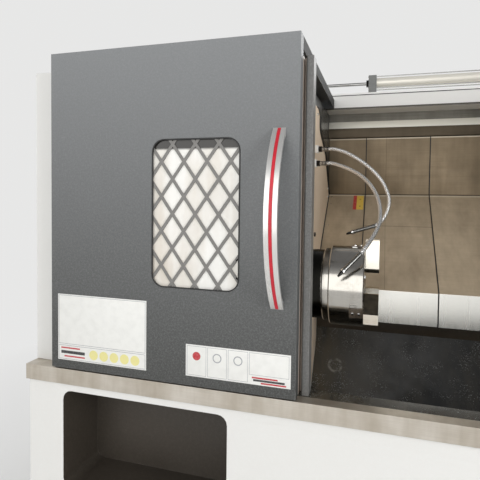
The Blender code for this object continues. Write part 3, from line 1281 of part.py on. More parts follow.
def make_hoses():
    """Two braided coolant hoses that hold their bend, each with a wall fitting and a nozzle."""
    radius = HOSE_DIA / 2
    for name, route, tip in (("upper", UPPER_ROUTE, UPPER_TIP), ("lower", LOWER_ROUTE, LOWER_TIP)):
        _, y, z = route[0]
        half = FITTING_SIDE / 2
        fitting_right = WALL_X + FITTING_DEEP
        fitting = block("hose_fitting_" + name, "white_paint", (WALL_X + SEAT_GAP, fitting_right),
                        (y - half, y + half), (z - half, z + half))
        nut_right = route[0][0] - SEAT_GAP
        nut_left = fitting_right - 0.002
        nut = raw_cylinder(((nut_left + nut_right) / 2, y, z), HOSE_NUT_DIA / 2, nut_right - nut_left, sides=6)
        boolean(fitting, nut, "UNION")
        start = Vector(route[-1])
        end = Vector(tip)
        lead = HOSE_DIA
        line = smooth_route(route, HOSE_DIA * 2.3)
        line = [line[0], line[0] + Vector((lead, 0.0, 0.0))] + line[1:-1]
        line += [start - (end - start).normalized() * lead, start]
        add_tube("coolant_hose_" + name, "braid_steel", line, radius)
        add_nozzle("coolant_nozzle_" + name, start, end)


def add_tube(name, finish, route, radius):
    curve = bpy.data.curves.new(name, "CURVE")
    curve.dimensions = "3D"
    curve.bevel_depth = radius
    curve.bevel_resolution = 2
    curve.use_fill_caps = True
    spline = curve.splines.new("POLY")
    spline.points.add(len(route) - 1)
    for point, place in zip(spline.points, route):
        point.co = (*place, 1.0)
    tube = bpy.data.objects.new(name, curve)
    bpy.context.scene.collection.objects.link(tube)
    return keep(tube, name, finish)


def add_nozzle(name, start, end):
    """A turned ferrule, ring and tip in line with the hose's end."""
    length = (end - start).length
    ferrule = NOZZLE_DIA / 2
    ring = NOZZLE_RING_DIA / 2
    rings = [(0.0, length), (0.0025, length), (0.0042, length * 0.83), (ring, length * 0.82),
             (ring, length * 0.76), (ferrule, length * 0.75), (ferrule, SEAT_GAP), (0.0, SEAT_GAP)]
    spun(name, "steel", rings, start, (end - start).to_track_quat("Z", "Y").to_euler(), 16)


def make_coolant():
    """Coolant tank that slides in under the chip slide, with the pump on its lid."""
    tank = block("coolant_tank", "dark_paint", TANK_X, TANK_Y, TANK_Z)
    side = TANK_FOOT_SIDE
    for x in (TANK_X[0] + side, TANK_X[1] - 2 * side):
        for y in (TANK_Y[0] + TANK_FOOT_IN, TANK_Y[1] - TANK_FOOT_IN - side):
            foot = raw_box((x, x + side), (y, y + side), (-FLOOR_DROP, TANK_Z[0] + 0.01))
            boolean(tank, foot, "UNION")
    for x in HANDHOLD_X:
        boolean(tank, raw_box((x, x + HANDHOLD_LONG), (-TANK_Y[1], TANK_Y[0] + HANDHOLD_DEEP), HANDHOLD_Z))
    foot = (PUMP_X, PUMP_Y, TANK_Z[1] - 0.010)
    pump = spun("pump", "dark_paint",
                [(0.0, 0.300), (0.036, 0.300), (0.046, 0.290), (0.046, 0.255), (0.052, 0.250), (0.052, 0.090),
                 (0.060, 0.085), (0.060, 0.070), (0.034, 0.068), (0.034, 0.020), (0.060, 0.018), (0.060, 0.0),
                 (0.0, 0.0)], foot, (0.0, 0.0, 0.0), 16)
    boolean(tank, pump, "UNION")


def make_controls():
    """Control box on the right-hand front cover, with screen, buttons, knob and handwheel."""
    front = -PANEL_DEEP
    box = block("control_housing", "white_paint", (PANEL_LEFT, PANEL_RIGHT), (front, -SEAT_GAP),
                (PANEL_LOW, PANEL_HIGH))
    bevel(box, PANEL_EDGE, 2)
    screen_left = PANEL_LEFT + SCREEN_IN
    screen_top = PANEL_HIGH - SCREEN_DROP
    boolean(box, raw_box((screen_left, screen_left + SCREEN_WIDE), (front - PANEL_DEEP, front + SCREEN_DEEP),
                         (screen_top - SCREEN_TALL, screen_top)))
    controls = (("emergency_stop", "red_plastic", STOP_PLACE, stop_rings()),
                ("cycle_start_button", "green_plastic", START_PLACE, button_rings()),
                ("override_knob", "black_plastic", OVERRIDE_PLACE, knob_rings()),
                ("handwheel", "black_plastic", WHEEL_PLACE, wheel_rings()))
    for name, finish, corner, rings in controls:
        place = (PANEL_LEFT + corner[0], front, PANEL_LOW + corner[1])
        stem = rings[-2][0]
        depth = -rings[-1][1] + 0.008
        boolean(box, raw_cylinder(place, stem + SEAT_GAP, 2 * depth, "Y", 18))
        spun(name, finish, rings, place, (math.pi / 2, 0.0, 0.0), 18)


def stop_rings():
    """Mushroom head on a stem; heights stand out of the panel's face."""
    return [(0.0, 0.030), (0.012, 0.029), (0.019, 0.024), (0.020, 0.018), (0.016, 0.013), (0.011, 0.010),
            (0.011, -0.014), (0.0, -0.014)]


def button_rings():
    return [(0.0, 0.008), (0.010, 0.008), (0.0115, 0.0065), (0.0115, -0.012), (0.0, -0.012)]


def knob_rings():
    return [(0.0, 0.020), (0.013, 0.020), (0.015, 0.018), (0.019, SEAT_GAP), (0.006, SEAT_GAP), (0.006, -0.012),
            (0.0, -0.012)]


def wheel_rings():
    return [(0.0, 0.012), (0.026, 0.012), (0.030, 0.018), (0.036, 0.018), (0.038, 0.014), (0.038, 0.004),
            (0.034, SEAT_GAP), (0.008, SEAT_GAP), (0.008, -0.012), (0.0, -0.012)]


def make_cabinet():
    """Electrical cabinet on the back, open to the rear and closed by one hinged door."""
    wall = CABINET_SHEET
    rear = REAR_FACE - CABINET_DOOR
    z = (BASE_TOP + SEAT_GAP, CABINET_HIGH)
    x = (CABINET_LEFT, CABINET_RIGHT)
    body = block("electrical_cabinet", "white_paint", x, (CABINET_FRONT, rear - RUN_GAP), z)
    start = CABINET_FRONT + wall
    boolean(body, raw_box((x[0] + wall, x[1] - wall), (start, REAR_FACE), (z[0] + wall, z[1] - wall)))
    margin = CABINET_MARGIN
    plate = raw_box((x[0] + margin, x[1] - margin), (start - 0.001, start + 4 * wall),
                    (z[0] + margin, z[1] - margin))
    boolean(body, plate, "UNION")
    for left, low, wide, tall, deep in DRIVES:
        unit_x = (CABINET_LEFT + left, CABINET_LEFT + left + wide)
        unit_z = (BASE_TOP + low, BASE_TOP + low + tall)
        boolean(body, raw_box(unit_x, (start + 3 * wall, start + 3 * wall + deep), unit_z), "UNION")
    door = block("cabinet_door", "white_paint", x, (rear, REAR_FACE), z, 0.003)
    door.data.transform(Matrix.Translation((door.location.x - x[0], door.location.y - rear, 0.0)))
    door.location.x = x[0]
    door.location.y = rear
    cut_louvres(door, DOOR_LOUVRES_X, (rear - CABINET_DOOR, REAR_FACE + CABINET_DOOR), z[0] + 0.10, 4)


def smooth_round_pieces():
    for thing in PARTS.objects:
        if thing.type != "MESH" or not any(m.type == "SCREW" for m in thing.modifiers):
            continue
        thing.data.shade_smooth()


clear_scene()
DATUM = bpy.data.objects.new("lathe_datum", None)
PARTS.objects.link(DATUM)
DATUM.location = (-(LEFT_END + RIGHT_END) / 2, -(REAR_FACE - HANDLE_REACH) / 2, FLOOR_DROP)
bpy.context.view_layer.update()

paint("door_grey", (0.080, 0.082, 0.080), 0.55)
paint("post_grey", (0.20, 0.20, 0.20), 0.55)
paint("white_paint", (0.80, 0.80, 0.78), 0.40)
paint("dark_paint", (0.05, 0.05, 0.05), 0.50)
paint("cast_grey", (0.25, 0.26, 0.27), 0.60)
paint("stainless", (0.55, 0.54, 0.52), 0.30, 1.0)
paint("stainless_tan", (0.55, 0.47, 0.40), 0.35, 1.0)
paint("stainless_brown", (0.35, 0.31, 0.26), 0.35, 1.0)
paint("black_tray", (0.02, 0.02, 0.02), 0.30)
paint("steel", (0.60, 0.60, 0.60), 0.25, 1.0)
paint("chuck_steel", (0.45, 0.44, 0.42), 0.22, 1.0)
paint("black_steel", (0.03, 0.03, 0.03), 0.30)
paint("braid_steel", (0.60, 0.60, 0.60), 0.35, 1.0)
paint("aluminium", (0.70, 0.70, 0.68), 0.35, 1.0)
paint("cream_aluminium", (0.78, 0.76, 0.70), 0.40)
paint("clear_glass", (0.80, 0.82, 0.80), 0.05)
paint("black_rubber", (0.02, 0.02, 0.02), 0.70)
paint("red_inlay", (0.60, 0.03, 0.04), 0.40)
paint("red_plastic", (0.65, 0.02, 0.02), 0.35)
paint("green_plastic", (0.05, 0.40, 0.08), 0.35)
paint("black_plastic", (0.02, 0.02, 0.02), 0.40)

make_frame()
make_way_covers()
make_headstock()
make_chuck()
make_saddle()
make_tailstock()
make_door()
make_cylinder()
make_hoses()
make_coolant()
make_controls()
make_cabinet()
smooth_round_pieces()
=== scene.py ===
import json
import math

import bmesh
import bpy
from mathutils import Matrix, Vector


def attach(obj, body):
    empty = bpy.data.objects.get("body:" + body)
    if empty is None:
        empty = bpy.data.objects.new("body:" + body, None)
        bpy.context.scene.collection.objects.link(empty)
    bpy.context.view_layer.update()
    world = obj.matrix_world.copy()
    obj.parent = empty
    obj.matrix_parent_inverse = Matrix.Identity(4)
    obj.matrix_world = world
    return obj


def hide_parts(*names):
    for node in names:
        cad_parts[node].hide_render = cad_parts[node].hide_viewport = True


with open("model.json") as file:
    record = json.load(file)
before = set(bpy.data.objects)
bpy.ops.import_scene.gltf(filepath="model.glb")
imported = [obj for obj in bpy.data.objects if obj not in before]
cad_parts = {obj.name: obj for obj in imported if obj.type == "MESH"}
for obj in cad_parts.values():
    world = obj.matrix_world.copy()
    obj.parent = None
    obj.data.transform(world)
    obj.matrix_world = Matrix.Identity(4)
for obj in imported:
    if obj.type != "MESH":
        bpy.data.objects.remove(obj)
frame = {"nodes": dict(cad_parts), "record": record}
nodes = frame["nodes"]
node_body = {m: b for b, ms in frame["record"]["behaviour"]["bodies"].items() for m in ms}
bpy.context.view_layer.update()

# Datum: the lower right corner of the open door, on its front face. Every place in this
# file that is written with at() is counted from there.
DATUM = Vector((-0.3, -0.675, 0.8))


def at(x, y, z):
    return DATUM + Vector((x, y, z))


# Camera: an operator's eye at chest height, a little left of the chuck, looking into the
# machine past the open door. The lens is that of a phone held at about 1.2 m.
eye = Vector((-0.088, -1.904, 1.357))
yaw, pitch, roll = 0.297408, 0.0362771, 0.0115659
ahead = Vector((-math.sin(yaw) * math.cos(pitch), math.cos(yaw) * math.cos(pitch), -math.sin(pitch)))
level = Vector((math.cos(yaw), math.sin(yaw), 0))
upright = level.cross(ahead)
across = level * math.cos(roll) + upright * math.sin(roll)
upward = upright * math.cos(roll) - level * math.sin(roll)
camera_data = bpy.data.cameras.new("camera")
camera_data.lens = 34.413
camera_data.sensor_width = 36
camera_data.shift_y = -0.05625
camera_data.clip_start = 0.05
camera = bpy.data.objects.new("camera", camera_data)
camera.matrix_world = Matrix(((across.x, upward.x, -ahead.x, eye.x), (across.y, upward.y, -ahead.y, eye.y),
    (across.z, upward.z, -ahead.z, eye.z), (0, 0, 0, 1)))
bpy.context.scene.collection.objects.link(camera)
bpy.context.scene.camera = camera
bpy.context.scene.view_settings.view_transform = "Standard"


# Coolant hoses: two gooseneck hoses in a steel braid, held by their own stiffness. Each is
# clamped in a ferrule on its wall fitting and ends in a turned nozzle.
def start_group(name, inputs, outputs):
    """A node group with the named sockets; a value of None makes a vector input."""
    tree = bpy.data.node_groups.new(name, "ShaderNodeTree")
    for label, value in inputs.items():
        kind = {float: "NodeSocketFloat", tuple: "NodeSocketColor", type(None): "NodeSocketVector"}[type(value)]
        socket = tree.interface.new_socket(name=label, in_out="INPUT", socket_type=kind)
        if isinstance(value, float):
            socket.default_value = value
        elif value:
            socket.default_value = (*value, 1)
    for label in outputs:
        kind = "NodeSocketColor" if label == "Color" else "NodeSocketFloat"
        tree.interface.new_socket(name=label, in_out="OUTPUT", socket_type=kind)
    source = tree.nodes.new("NodeGroupInput")
    target = tree.nodes.new("NodeGroupOutput")
    return tree, source.outputs, target.inputs


def feed(socket, value):
    """Links a socket to this one or sets its value; a colour comes without its alpha."""
    if isinstance(value, bpy.types.NodeSocket):
        socket.id_data.links.new(value, socket)
    else:
        socket.default_value = (*value, 1) if socket.type == "RGBA" else value


def give(node, **values):
    """Feeds a node's inputs by name, with _ for a space."""
    for label, value in values.items():
        feed(node.inputs[label.replace("_", " ")], value)


def put(tree, kind, *values, **named):
    """A new node, its first inputs in order, then its settings and other inputs by name."""
    node = tree.nodes.new(kind)
    for label, value in named.items():
        if label in node.inputs:
            feed(node.inputs[label], value)
        else:
            setattr(node, label, value)
    for socket, value in zip(node.inputs, values):
        feed(socket, value)
    return node


def maths(operation, *values, clamp=False):
    tree = next(value.id_data for value in values if isinstance(value, bpy.types.NodeSocket))
    return put(tree, "ShaderNodeMath", *values, operation=operation, use_clamp=clamp).outputs[0]


def times(first, second):
    return maths("MULTIPLY", first, second)


def plus(first, second):
    return maths("ADD", first, second)


def split(vector):
    """The three parts of a vector socket, by name."""
    return put(vector.id_data, "ShaderNodeSeparateXYZ", Vector=vector).outputs


def stretch(value, low, high, new_low=0, new_high=1):
    """Value between low and high spread to new_low and new_high, clamped."""
    return put(value.id_data, "ShaderNodeMapRange", value, low, high, new_low, new_high).outputs["Result"]


def blend_colours(share, first, second):
    node = put(share.id_data, "ShaderNodeMix", share, data_type="RGBA")
    feed(node.inputs[6], first)
    feed(node.inputs[7], second)
    return node.outputs[2]


def noise(vector, scale, detail=2, rough=0.5, dimensions="3D"):
    node = put(vector.id_data, "ShaderNodeTexNoise", noise_dimensions=dimensions, Scale=scale, Detail=detail,
        Roughness=rough)
    feed(node.inputs["W" if dimensions == "1D" else "Vector"], vector)
    return node.outputs["Fac"]


def start_material(name, roughness, metallic, colour, **more):
    """A new material, its node tree and its shader."""
    material = bpy.data.materials.new(name)
    material.use_nodes = True
    material.diffuse_color = (*colour, 1)
    shader = material.node_tree.nodes["Principled BSDF"]
    give(shader, Base_Color=colour, Roughness=roughness, Metallic=metallic, **more)
    return material, material.node_tree, shader


def object_place(tree, scale=(1, 1, 1), offset=(0, 0, 0), turn=(0, 0, 0)):
    """Object coordinates, moved, turned and scaled."""
    coords = put(tree, "ShaderNodeTexCoord").outputs["Object"]
    return put(tree, "ShaderNodeMapping", coords, offset, turn, scale).outputs["Vector"]


def use_group(tree, group, **values):
    """A group's outputs, with its inputs fed by name."""
    node = put(tree, "ShaderNodeGroup", node_tree=group)
    give(node, **values)
    return node.outputs


def bump(shader, height, distance):
    """Raises a surface by up to the distance in metres."""
    shape = put(height.id_data, "ShaderNodeBump", Strength=1, Distance=distance, Height=height)
    give(shader, Normal=shape.outputs["Normal"])


def gather(add, *parts):
    """A new shape made of parts, each given as what add needs."""
    shape = bmesh.new()
    for part in parts:
        add(shape, *part)
    return shape


def finish_piece(name, shape, material, body="root", sharp_deg=35):
    """Turns a bmesh into a piece, smooth with sharp edges, riding on its body."""
    mesh = bpy.data.meshes.new(name)
    shape.to_mesh(mesh)
    shape.free()
    mesh.materials.append(material)
    mesh.shade_smooth()
    mesh.set_sharp_from_angle(angle=math.radians(sharp_deg))
    piece = bpy.data.objects.new(name, mesh)
    bpy.context.scene.collection.objects.link(piece)
    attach(piece, body)
    return piece


def smooth_route(points, count):
    """Places evenly spaced on a smooth curve through the points."""
    places = [Vector(point) for point in points]
    ends = [places[0] * 2 - places[1]] + places + [places[-1] * 2 - places[-2]]
    fine = []
    for i in range(1, len(ends) - 2):
        before, here, there, after = ends[i - 1:i + 3]
        for step in range(16):
            t = step / 16
            fine.append(0.5 * (2 * here + (there - before) * t
                + (2 * before - 5 * here + 4 * there - after) * t * t
                + (3 * here - before - 3 * there + after) * t ** 3))
    fine.append(places[-1])
    runs = [0]
    for a, b in zip(fine, fine[1:]):
        runs.append(runs[-1] + (b - a).length)
    route = []
    piece = 0
    for i in range(count + 1):
        wanted = runs[-1] * i / count
        while piece < len(fine) - 2 and runs[piece + 1] < wanted:
            piece += 1
        share = (wanted - runs[piece]) / (runs[piece + 1] - runs[piece])
        route.append(fine[piece].lerp(fine[piece + 1], min(1, share)))
    return route, runs[-1]


HOSE_RADIUS = 0.0065
BRAID_SIDES = 24
BRAID_TURNS = 6
BRAID_PITCH = 0.0022
UPPER_ROUTE = [(0.0153, 0.52, 0.738), (0.0283, 0.52, 0.738), (0.04, 0.52, 0.7375), (0.068, 0.519, 0.73),
    (0.101, 0.516, 0.715), (0.146, 0.511, 0.686), (0.181, 0.504, 0.656), (0.21, 0.497, 0.623),
    (0.228, 0.489, 0.591), (0.239, 0.48, 0.557), (0.238, 0.471, 0.525), (0.228, 0.463, 0.496),
    (0.213, 0.456, 0.473), (0.195, 0.449, 0.459)]
UPPER_TIP = (0.097, 0.44, 0.428)
LOWER_ROUTE = [(0.0153, 0.47, 0.681), (0.0283, 0.47, 0.681), (0.044, 0.4695, 0.68), (0.08, 0.46, 0.668),
    (0.116, 0.444, 0.651), (0.148, 0.421, 0.63), (0.175, 0.394, 0.603), (0.195, 0.366, 0.572),
    (0.207, 0.335, 0.539), (0.211, 0.304, 0.507), (0.209, 0.271, 0.479), (0.2, 0.24, 0.455), (0.188, 0.209, 0.434),
    (0.174, 0.181, 0.413), (0.158, 0.158, 0.392)]
LOWER_TIP = (0.099, 0.105, 0.331)

braid, braid_tree, braid_steel = start_material("braid_steel", 0.24, 0.82, (0.62, 0.62, 0.61))
lanes = split(put(braid_tree, "ShaderNodeUVMap").outputs["UV"])
lean_left = maths("SINE", plus(lanes["X"], lanes["Y"]))
lean_right = maths("SINE", maths("SUBTRACT", lanes["X"], lanes["Y"]))
weave = maths("MAXIMUM", lean_left, lean_right)
strand_shade = stretch(weave, -0.6, 0.9)
give(braid_steel, Base_Color=blend_colours(strand_shade, (0.22, 0.217, 0.21), (0.96, 0.96, 0.95)))
bump(braid_steel, weave, 0.0004)


UP, RIGHT, LEFT = (0, 0, 1), (1, 0, 0), (-1, 0, 0)
TO_FRONT, TO_REAR = (0, -1, 0), (0, 1, 0)


def braided_tube(route, radius):
    """A tube that follows the route, with a UV map that runs round it and along it."""
    shape = bmesh.new()
    layer = shape.loops.layers.uv.new("braid")
    rings = []
    for i, place in enumerate(route):
        ahead_of = route[min(i + 1, len(route) - 1)] - route[max(i - 1, 0)]
        ahead_of.normalize()
        side = ahead_of.cross(UP).normalized() if i == 0 else (side - ahead_of * side.dot(ahead_of)).normalized()
        top = side.cross(ahead_of)
        ring = []
        for k in range(BRAID_SIDES):
            angle = 2 * math.pi * k / BRAID_SIDES
            ring.append(shape.verts.new(place + (side * math.cos(angle) + top * math.sin(angle)) * radius))
        rings.append(ring)
    step = (route[1] - route[0]).length
    for i, (a, b) in enumerate(zip(rings, rings[1:])):
        for k in range(BRAID_SIDES):
            n = (k + 1) % BRAID_SIDES
            face = shape.faces.new((a[k], a[n], b[n], b[k]))
            spans = ((k, i), (k + 1, i), (k + 1, i + 1), (k, i + 1))
            for loop, (u, v) in zip(face.loops, spans):
                loop[layer].uv = (2 * math.pi * BRAID_TURNS * u / BRAID_SIDES, v * step / BRAID_PITCH)
    shape.faces.new(rings[0][::-1])
    shape.faces.new(rings[-1])
    bmesh.ops.recalc_face_normals(shape, faces=shape.faces)
    return shape


def join(shape, part, matrix):
    """Adds a part to a shape, moved by the matrix."""
    bmesh.ops.transform(part, matrix=matrix, verts=part.verts)
    carrier = bpy.data.meshes.new("carrier")
    part.to_mesh(carrier)
    part.free()
    shape.from_mesh(carrier)
    bpy.data.meshes.remove(carrier)


def aim(place, facing):
    """Moves a part drawn along Z to its place and facing."""
    return Matrix.Translation(place) @ Vector(facing).to_track_quat("Z", "Y").to_matrix().to_4x4()


def add_spun(shape, outline, place, facing, steps=32):
    """Spins an outline of (radius, height) round the axis that runs from place along facing."""
    part = bmesh.new()
    corners = [part.verts.new((radius, 0, height)) for radius, height in outline]
    closing = corners[:1] if outline[0][0] > 0 else []
    for here, there in zip(corners, corners[1:] + closing):
        part.edges.new((here, there))
    bmesh.ops.spin(part, geom=part.verts[:] + part.edges[:], axis=UP, cent=(0, 0, 0), dvec=(0, 0, 0),
        angle=2 * math.pi, steps=steps, use_merge=True, use_duplicate=False)
    bmesh.ops.remove_doubles(part, verts=part.verts, dist=1e-6)
    bmesh.ops.recalc_face_normals(part, faces=part.faces)
    join(shape, part, aim(place, facing))


def paint_faces(piece, material, chosen):
    """Gives another finish to the faces whose middle, from the datum, and normal pass the test."""
    piece.data.materials.append(material)
    index = len(piece.data.materials) - 1
    for face in piece.data.polygons:
        if chosen(face.center - DATUM, face.normal):
            face.material_index = index


def speckled_metal(name, colour, dark_colour, roughness, scale=300, metallic=1):
    """Plain plated or blacked metal with a faint mottle."""
    material, tree, principled = start_material(name, roughness, metallic, colour)
    mottle = noise(object_place(tree), scale, 3, 0.6)
    give(principled, Base_Color=blend_colours(stretch(mottle, 0.35, 0.7), colour, dark_colour),
        Roughness=stretch(mottle, 0.3, 0.7, roughness - 0.06, roughness + 0.08))
    bump(principled, mottle, 0.00002)
    return material


bright_plate = speckled_metal("bright_plating", (0.88, 0.88, 0.87), (0.7, 0.7, 0.69), 0.18)
nozzle_grey = speckled_metal("nozzle_grey", (0.3, 0.3, 0.29), (0.15, 0.15, 0.14), 0.28)
blacked = speckled_metal("blacked_steel", (0.05, 0.048, 0.046), (0.022, 0.022, 0.021), 0.32)
FERRULE_LONG = 0.0245
FERRULE_GROOVES = 4
SLEEVE_BACK = 0.0185
NOZZLE_GROOVES = 9


def ferrule_outline():
    """A sleeve over the braid with turned grooves, from its wall fitting outwards."""
    step = FERRULE_LONG / (FERRULE_GROOVES + 0.5)
    outline = [(0.0067, FERRULE_LONG), (0.0067, 0)]
    for i in range(FERRULE_GROOVES + 1):
        rise = i * step
        outline += [(0.0086, rise), (0.0086, rise + step * 0.45)]
        if i < FERRULE_GROOVES:
            outline += [(0.0076, rise + step * 0.52), (0.0076, rise + step * 0.93)]
    return outline


def nozzle_outline(length):
    """A grooved body, a collar and a thin tip with its bore."""
    outline = [(0, 0.0003), (0.0068, 0.0003), (0.007, 0.001), (0.007, 0.01)]
    pitch = (length * 0.72 - 0.012) / NOZZLE_GROOVES
    for i in range(NOZZLE_GROOVES):
        rise = 0.0105 + i * pitch
        outline += [(0.006, rise), (0.006, rise + pitch * 0.42), (0.0069, rise + pitch * 0.52),
            (0.0069, rise + pitch * 0.95)]
    outline += [(0.0069, length * 0.755), (0.008, length * 0.76), (0.008, length * 0.82), (0.005, length * 0.825),
        (0.0048, length * 0.9), (0.0036, length * 0.96), (0.003, length), (0.0017, length),
        (0.0017, length - 0.004), (0, length - 0.004)]
    return outline


for which, route_points, tip in (("upper", UPPER_ROUTE, UPPER_TIP), ("lower", LOWER_ROUTE, LOWER_TIP)):
    fine_route, hose_length = smooth_route([at(*p) for p in route_points], 150)
    hose = finish_piece("braided_hose_" + which, braided_tube(fine_route, HOSE_RADIUS), braid)
    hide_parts("coolant_hose_" + which)
    sleeve = gather(add_spun, (ferrule_outline(), at(*route_points[0]) - Vector((SLEEVE_BACK, 0, 0)), RIGHT))
    ferrule = finish_piece("hose_ferrule_" + which, sleeve, blacked)
    _, axis_y, axis_z = route_points[0]
    paint_faces(ferrule, bright_plate, lambda middle, normal:
        math.hypot(middle.y - axis_y, middle.z - axis_z) > 0.0083)
    root_end = at(*route_points[-1])
    outwards = at(*tip) - root_end
    spray = gather(add_spun, (nozzle_outline(outwards.length), root_end, outwards))
    nozzle = finish_piece("spray_nozzle_" + which, spray, nozzle_grey)
    unit = outwards.normalized()
    paint_faces(nozzle, bright_plate, lambda middle, normal:
        0.75 < (middle + DATUM - root_end).dot(unit) / outwards.length < 0.823)
    paint_faces(nozzle, blacked, lambda middle, normal:
        (middle + DATUM - root_end).dot(unit) / outwards.length > 0.83)
    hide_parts("coolant_nozzle_" + which)


# Studio: a pale floor and surround, one long soft lamp behind and above the camera, a wide
# one overhead and weaker ones behind and at the sides, so that turned steel shows bands.
def area_lamp(name, place, target, width, height, power, colour=(1, 1, 1), glossy=True):
    """A soft lamp aimed at a target, itself out of the camera's sight."""
    lamp = bpy.data.lights.new(name, "AREA")
    lamp.shape = "RECTANGLE"
    lamp.size = width
    lamp.size_y = height
    lamp.energy = power
    lamp.color = colour
    holder = bpy.data.objects.new(name, lamp)
    holder.location = place
    holder.rotation_euler = (Vector(target) - Vector(place)).to_track_quat("-Z", "Y").to_euler()
    holder.visible_camera = False
    holder.visible_glossy = glossy
    bpy.context.scene.collection.objects.link(holder)


area_lamp("front_softbox", (-1.1, -3.8, 2.1), (-0.3, 0, 1.15), 3.4, 3, 43, (1, 0.99, 0.97))
area_lamp("front_right_softbox", (3.2, -2.6, 2), (-0.2, 0.3, 1.2), 1.6, 1.6, 60)
area_lamp("overhead_softbox", (0.2, -0.2, 4.4), (0.1, 0.1, 1), 4.4, 3.2, 37, glossy=False)
area_lamp("rear_softbox", (1, 4.2, 3), (0, 0.6, 1), 3, 2, 46)
area_lamp("left_softbox", (-4.2, 0.2, 2.4), (0, 0.2, 1), 2.4, 1.8, 27)
area_lamp("right_softbox", (4.2, 0.2, 2.4), (0, 0.2, 1), 2.4, 1.8, 11)


def looked_at(tree):
    """One where a surface is seen straight, in a mirror or through glass."""
    rays = put(tree, "ShaderNodeLightPath").outputs
    return maths("MAXIMUM", maths("MAXIMUM", rays["Is Camera Ray"], rays["Is Glossy Ray"]),
        rays["Is Transmission Ray"])


HORIZON = (0.8, 0.8, 0.795)
world = bpy.data.worlds.new("studio")
bpy.context.scene.world = world
world.use_nodes = True
sky = world.node_tree
background = sky.nodes["Background"]
direction = split(put(sky, "ShaderNodeTexCoord").outputs["Generated"])
height = stretch(direction["Z"], 0.5, 0.88)
shown = blend_colours(height, HORIZON, (0.22, 0.22, 0.225))
lighting = blend_colours(height, (0.62, 0.62, 0.62), (0.3, 0.3, 0.31))
give(background, Color=blend_colours(looked_at(sky), lighting, shown), Strength=1)

floor_shape = bmesh.new()
bmesh.ops.create_grid(floor_shape, x_segments=1, y_segments=1, size=14)
floor_mesh = bpy.data.meshes.new("floor")
floor_shape.to_mesh(floor_mesh)
floor_shape.free()
floor_paint, floor_tree, floor_shader = start_material("pale_floor", 0.7, 0, (0.8, 0.8, 0.79))
floor_mesh.materials.append(floor_paint)
floor_place = put(floor_tree, "ShaderNodeTexCoord").outputs["Object"]
from_middle = put(floor_tree, "ShaderNodeVectorMath", floor_place, operation="LENGTH").outputs["Value"]
far_off = times(stretch(from_middle, 1.6, 3.4), looked_at(floor_tree))
paper = put(floor_tree, "ShaderNodeEmission", Color=HORIZON, Strength=1).outputs["Emission"]
sheet_mix = put(floor_tree, "ShaderNodeMixShader", far_off, floor_shader.outputs["BSDF"], paper)
give(floor_tree.nodes["Material Output"], Surface=sheet_mix.outputs["Shader"])
studio_floor = bpy.data.objects.new("floor", floor_mesh)
bpy.context.scene.collection.objects.link(studio_floor)


# Door: one folded steel shell, 2.5 mm sheet with its own piece of roof, in a dark grey powder
# coat with a fine grain. Its colour is painted lighter towards the top edge, a painted sheen of
# the light there, and its edges carry a painted highlight over the rubbed paint.
powder, source, target = start_group("powder_coat",
    {"Vector": None, "Color": (0.08, 0.08, 0.08), "Speck Color": (0.2, 0.2, 0.2), "Grain": 700.0, "Amount": 0.5,
    "Smudge": 0.15, "Roughness": 0.45}, ("Color", "Roughness", "Height"))
fine = noise(source["Vector"], source["Grain"], 2, 0.6)
coarse = noise(source["Vector"], times(source["Grain"], 0.42), 1, 0.5)
specks = stretch(plus(times(fine, 0.6), times(coarse, 0.4)), 0.44, 0.66)
cloud = stretch(noise(source["Vector"], 2.3, 3, 0.55), 0.3, 0.75)
grained = blend_colours(times(specks, source["Amount"]), source["Color"], source["Speck Color"])
clouded = blend_colours(times(cloud, source["Smudge"]), grained, source["Speck Color"])
feed(target["Color"], clouded)
feed(target["Roughness"], plus(source["Roughness"], times(maths("SUBTRACT", cloud, 0.5), source["Smudge"])))
feed(target["Height"], specks)

wear, source, target = start_group("edge_wear", {"Vector": None, "Width": 0.0015, "Amount": 0.6, "Scale": 60.0},
    ("Mask",))
rounded = put(wear, "ShaderNodeBevel", Radius=source["Width"], samples=4).outputs["Normal"]
flat = put(wear, "ShaderNodeNewGeometry").outputs["Normal"]
facing = put(wear, "ShaderNodeVectorMath", rounded, flat, operation="DOT_PRODUCT")
edge = stretch(facing.outputs["Value"], 0.995, 0.86)
patches = stretch(noise(source["Vector"], source["Scale"], 3, 0.6), 0.4, 0.62)
feed(target["Mask"], maths("MULTIPLY", times(edge, patches), source["Amount"], clamp=True))


scuffing, source, target = start_group("scuffs", {"Vector": None, "Amount": 0.5}, ("Mask",))
thin = noise(put(scuffing, "ShaderNodeMapping", Vector=source["Vector"], Rotation=(0, 0.35, 0),
    Scale=(34, 34, 260)).outputs["Vector"], 1, 2, 0.5)
where = stretch(noise(source["Vector"], 4.5, 3, 0.6), 0.6, 0.68)
feed(target["Mask"], maths("MULTIPLY", times(stretch(thin, 0.66, 0.74), where), source["Amount"], clamp=True))


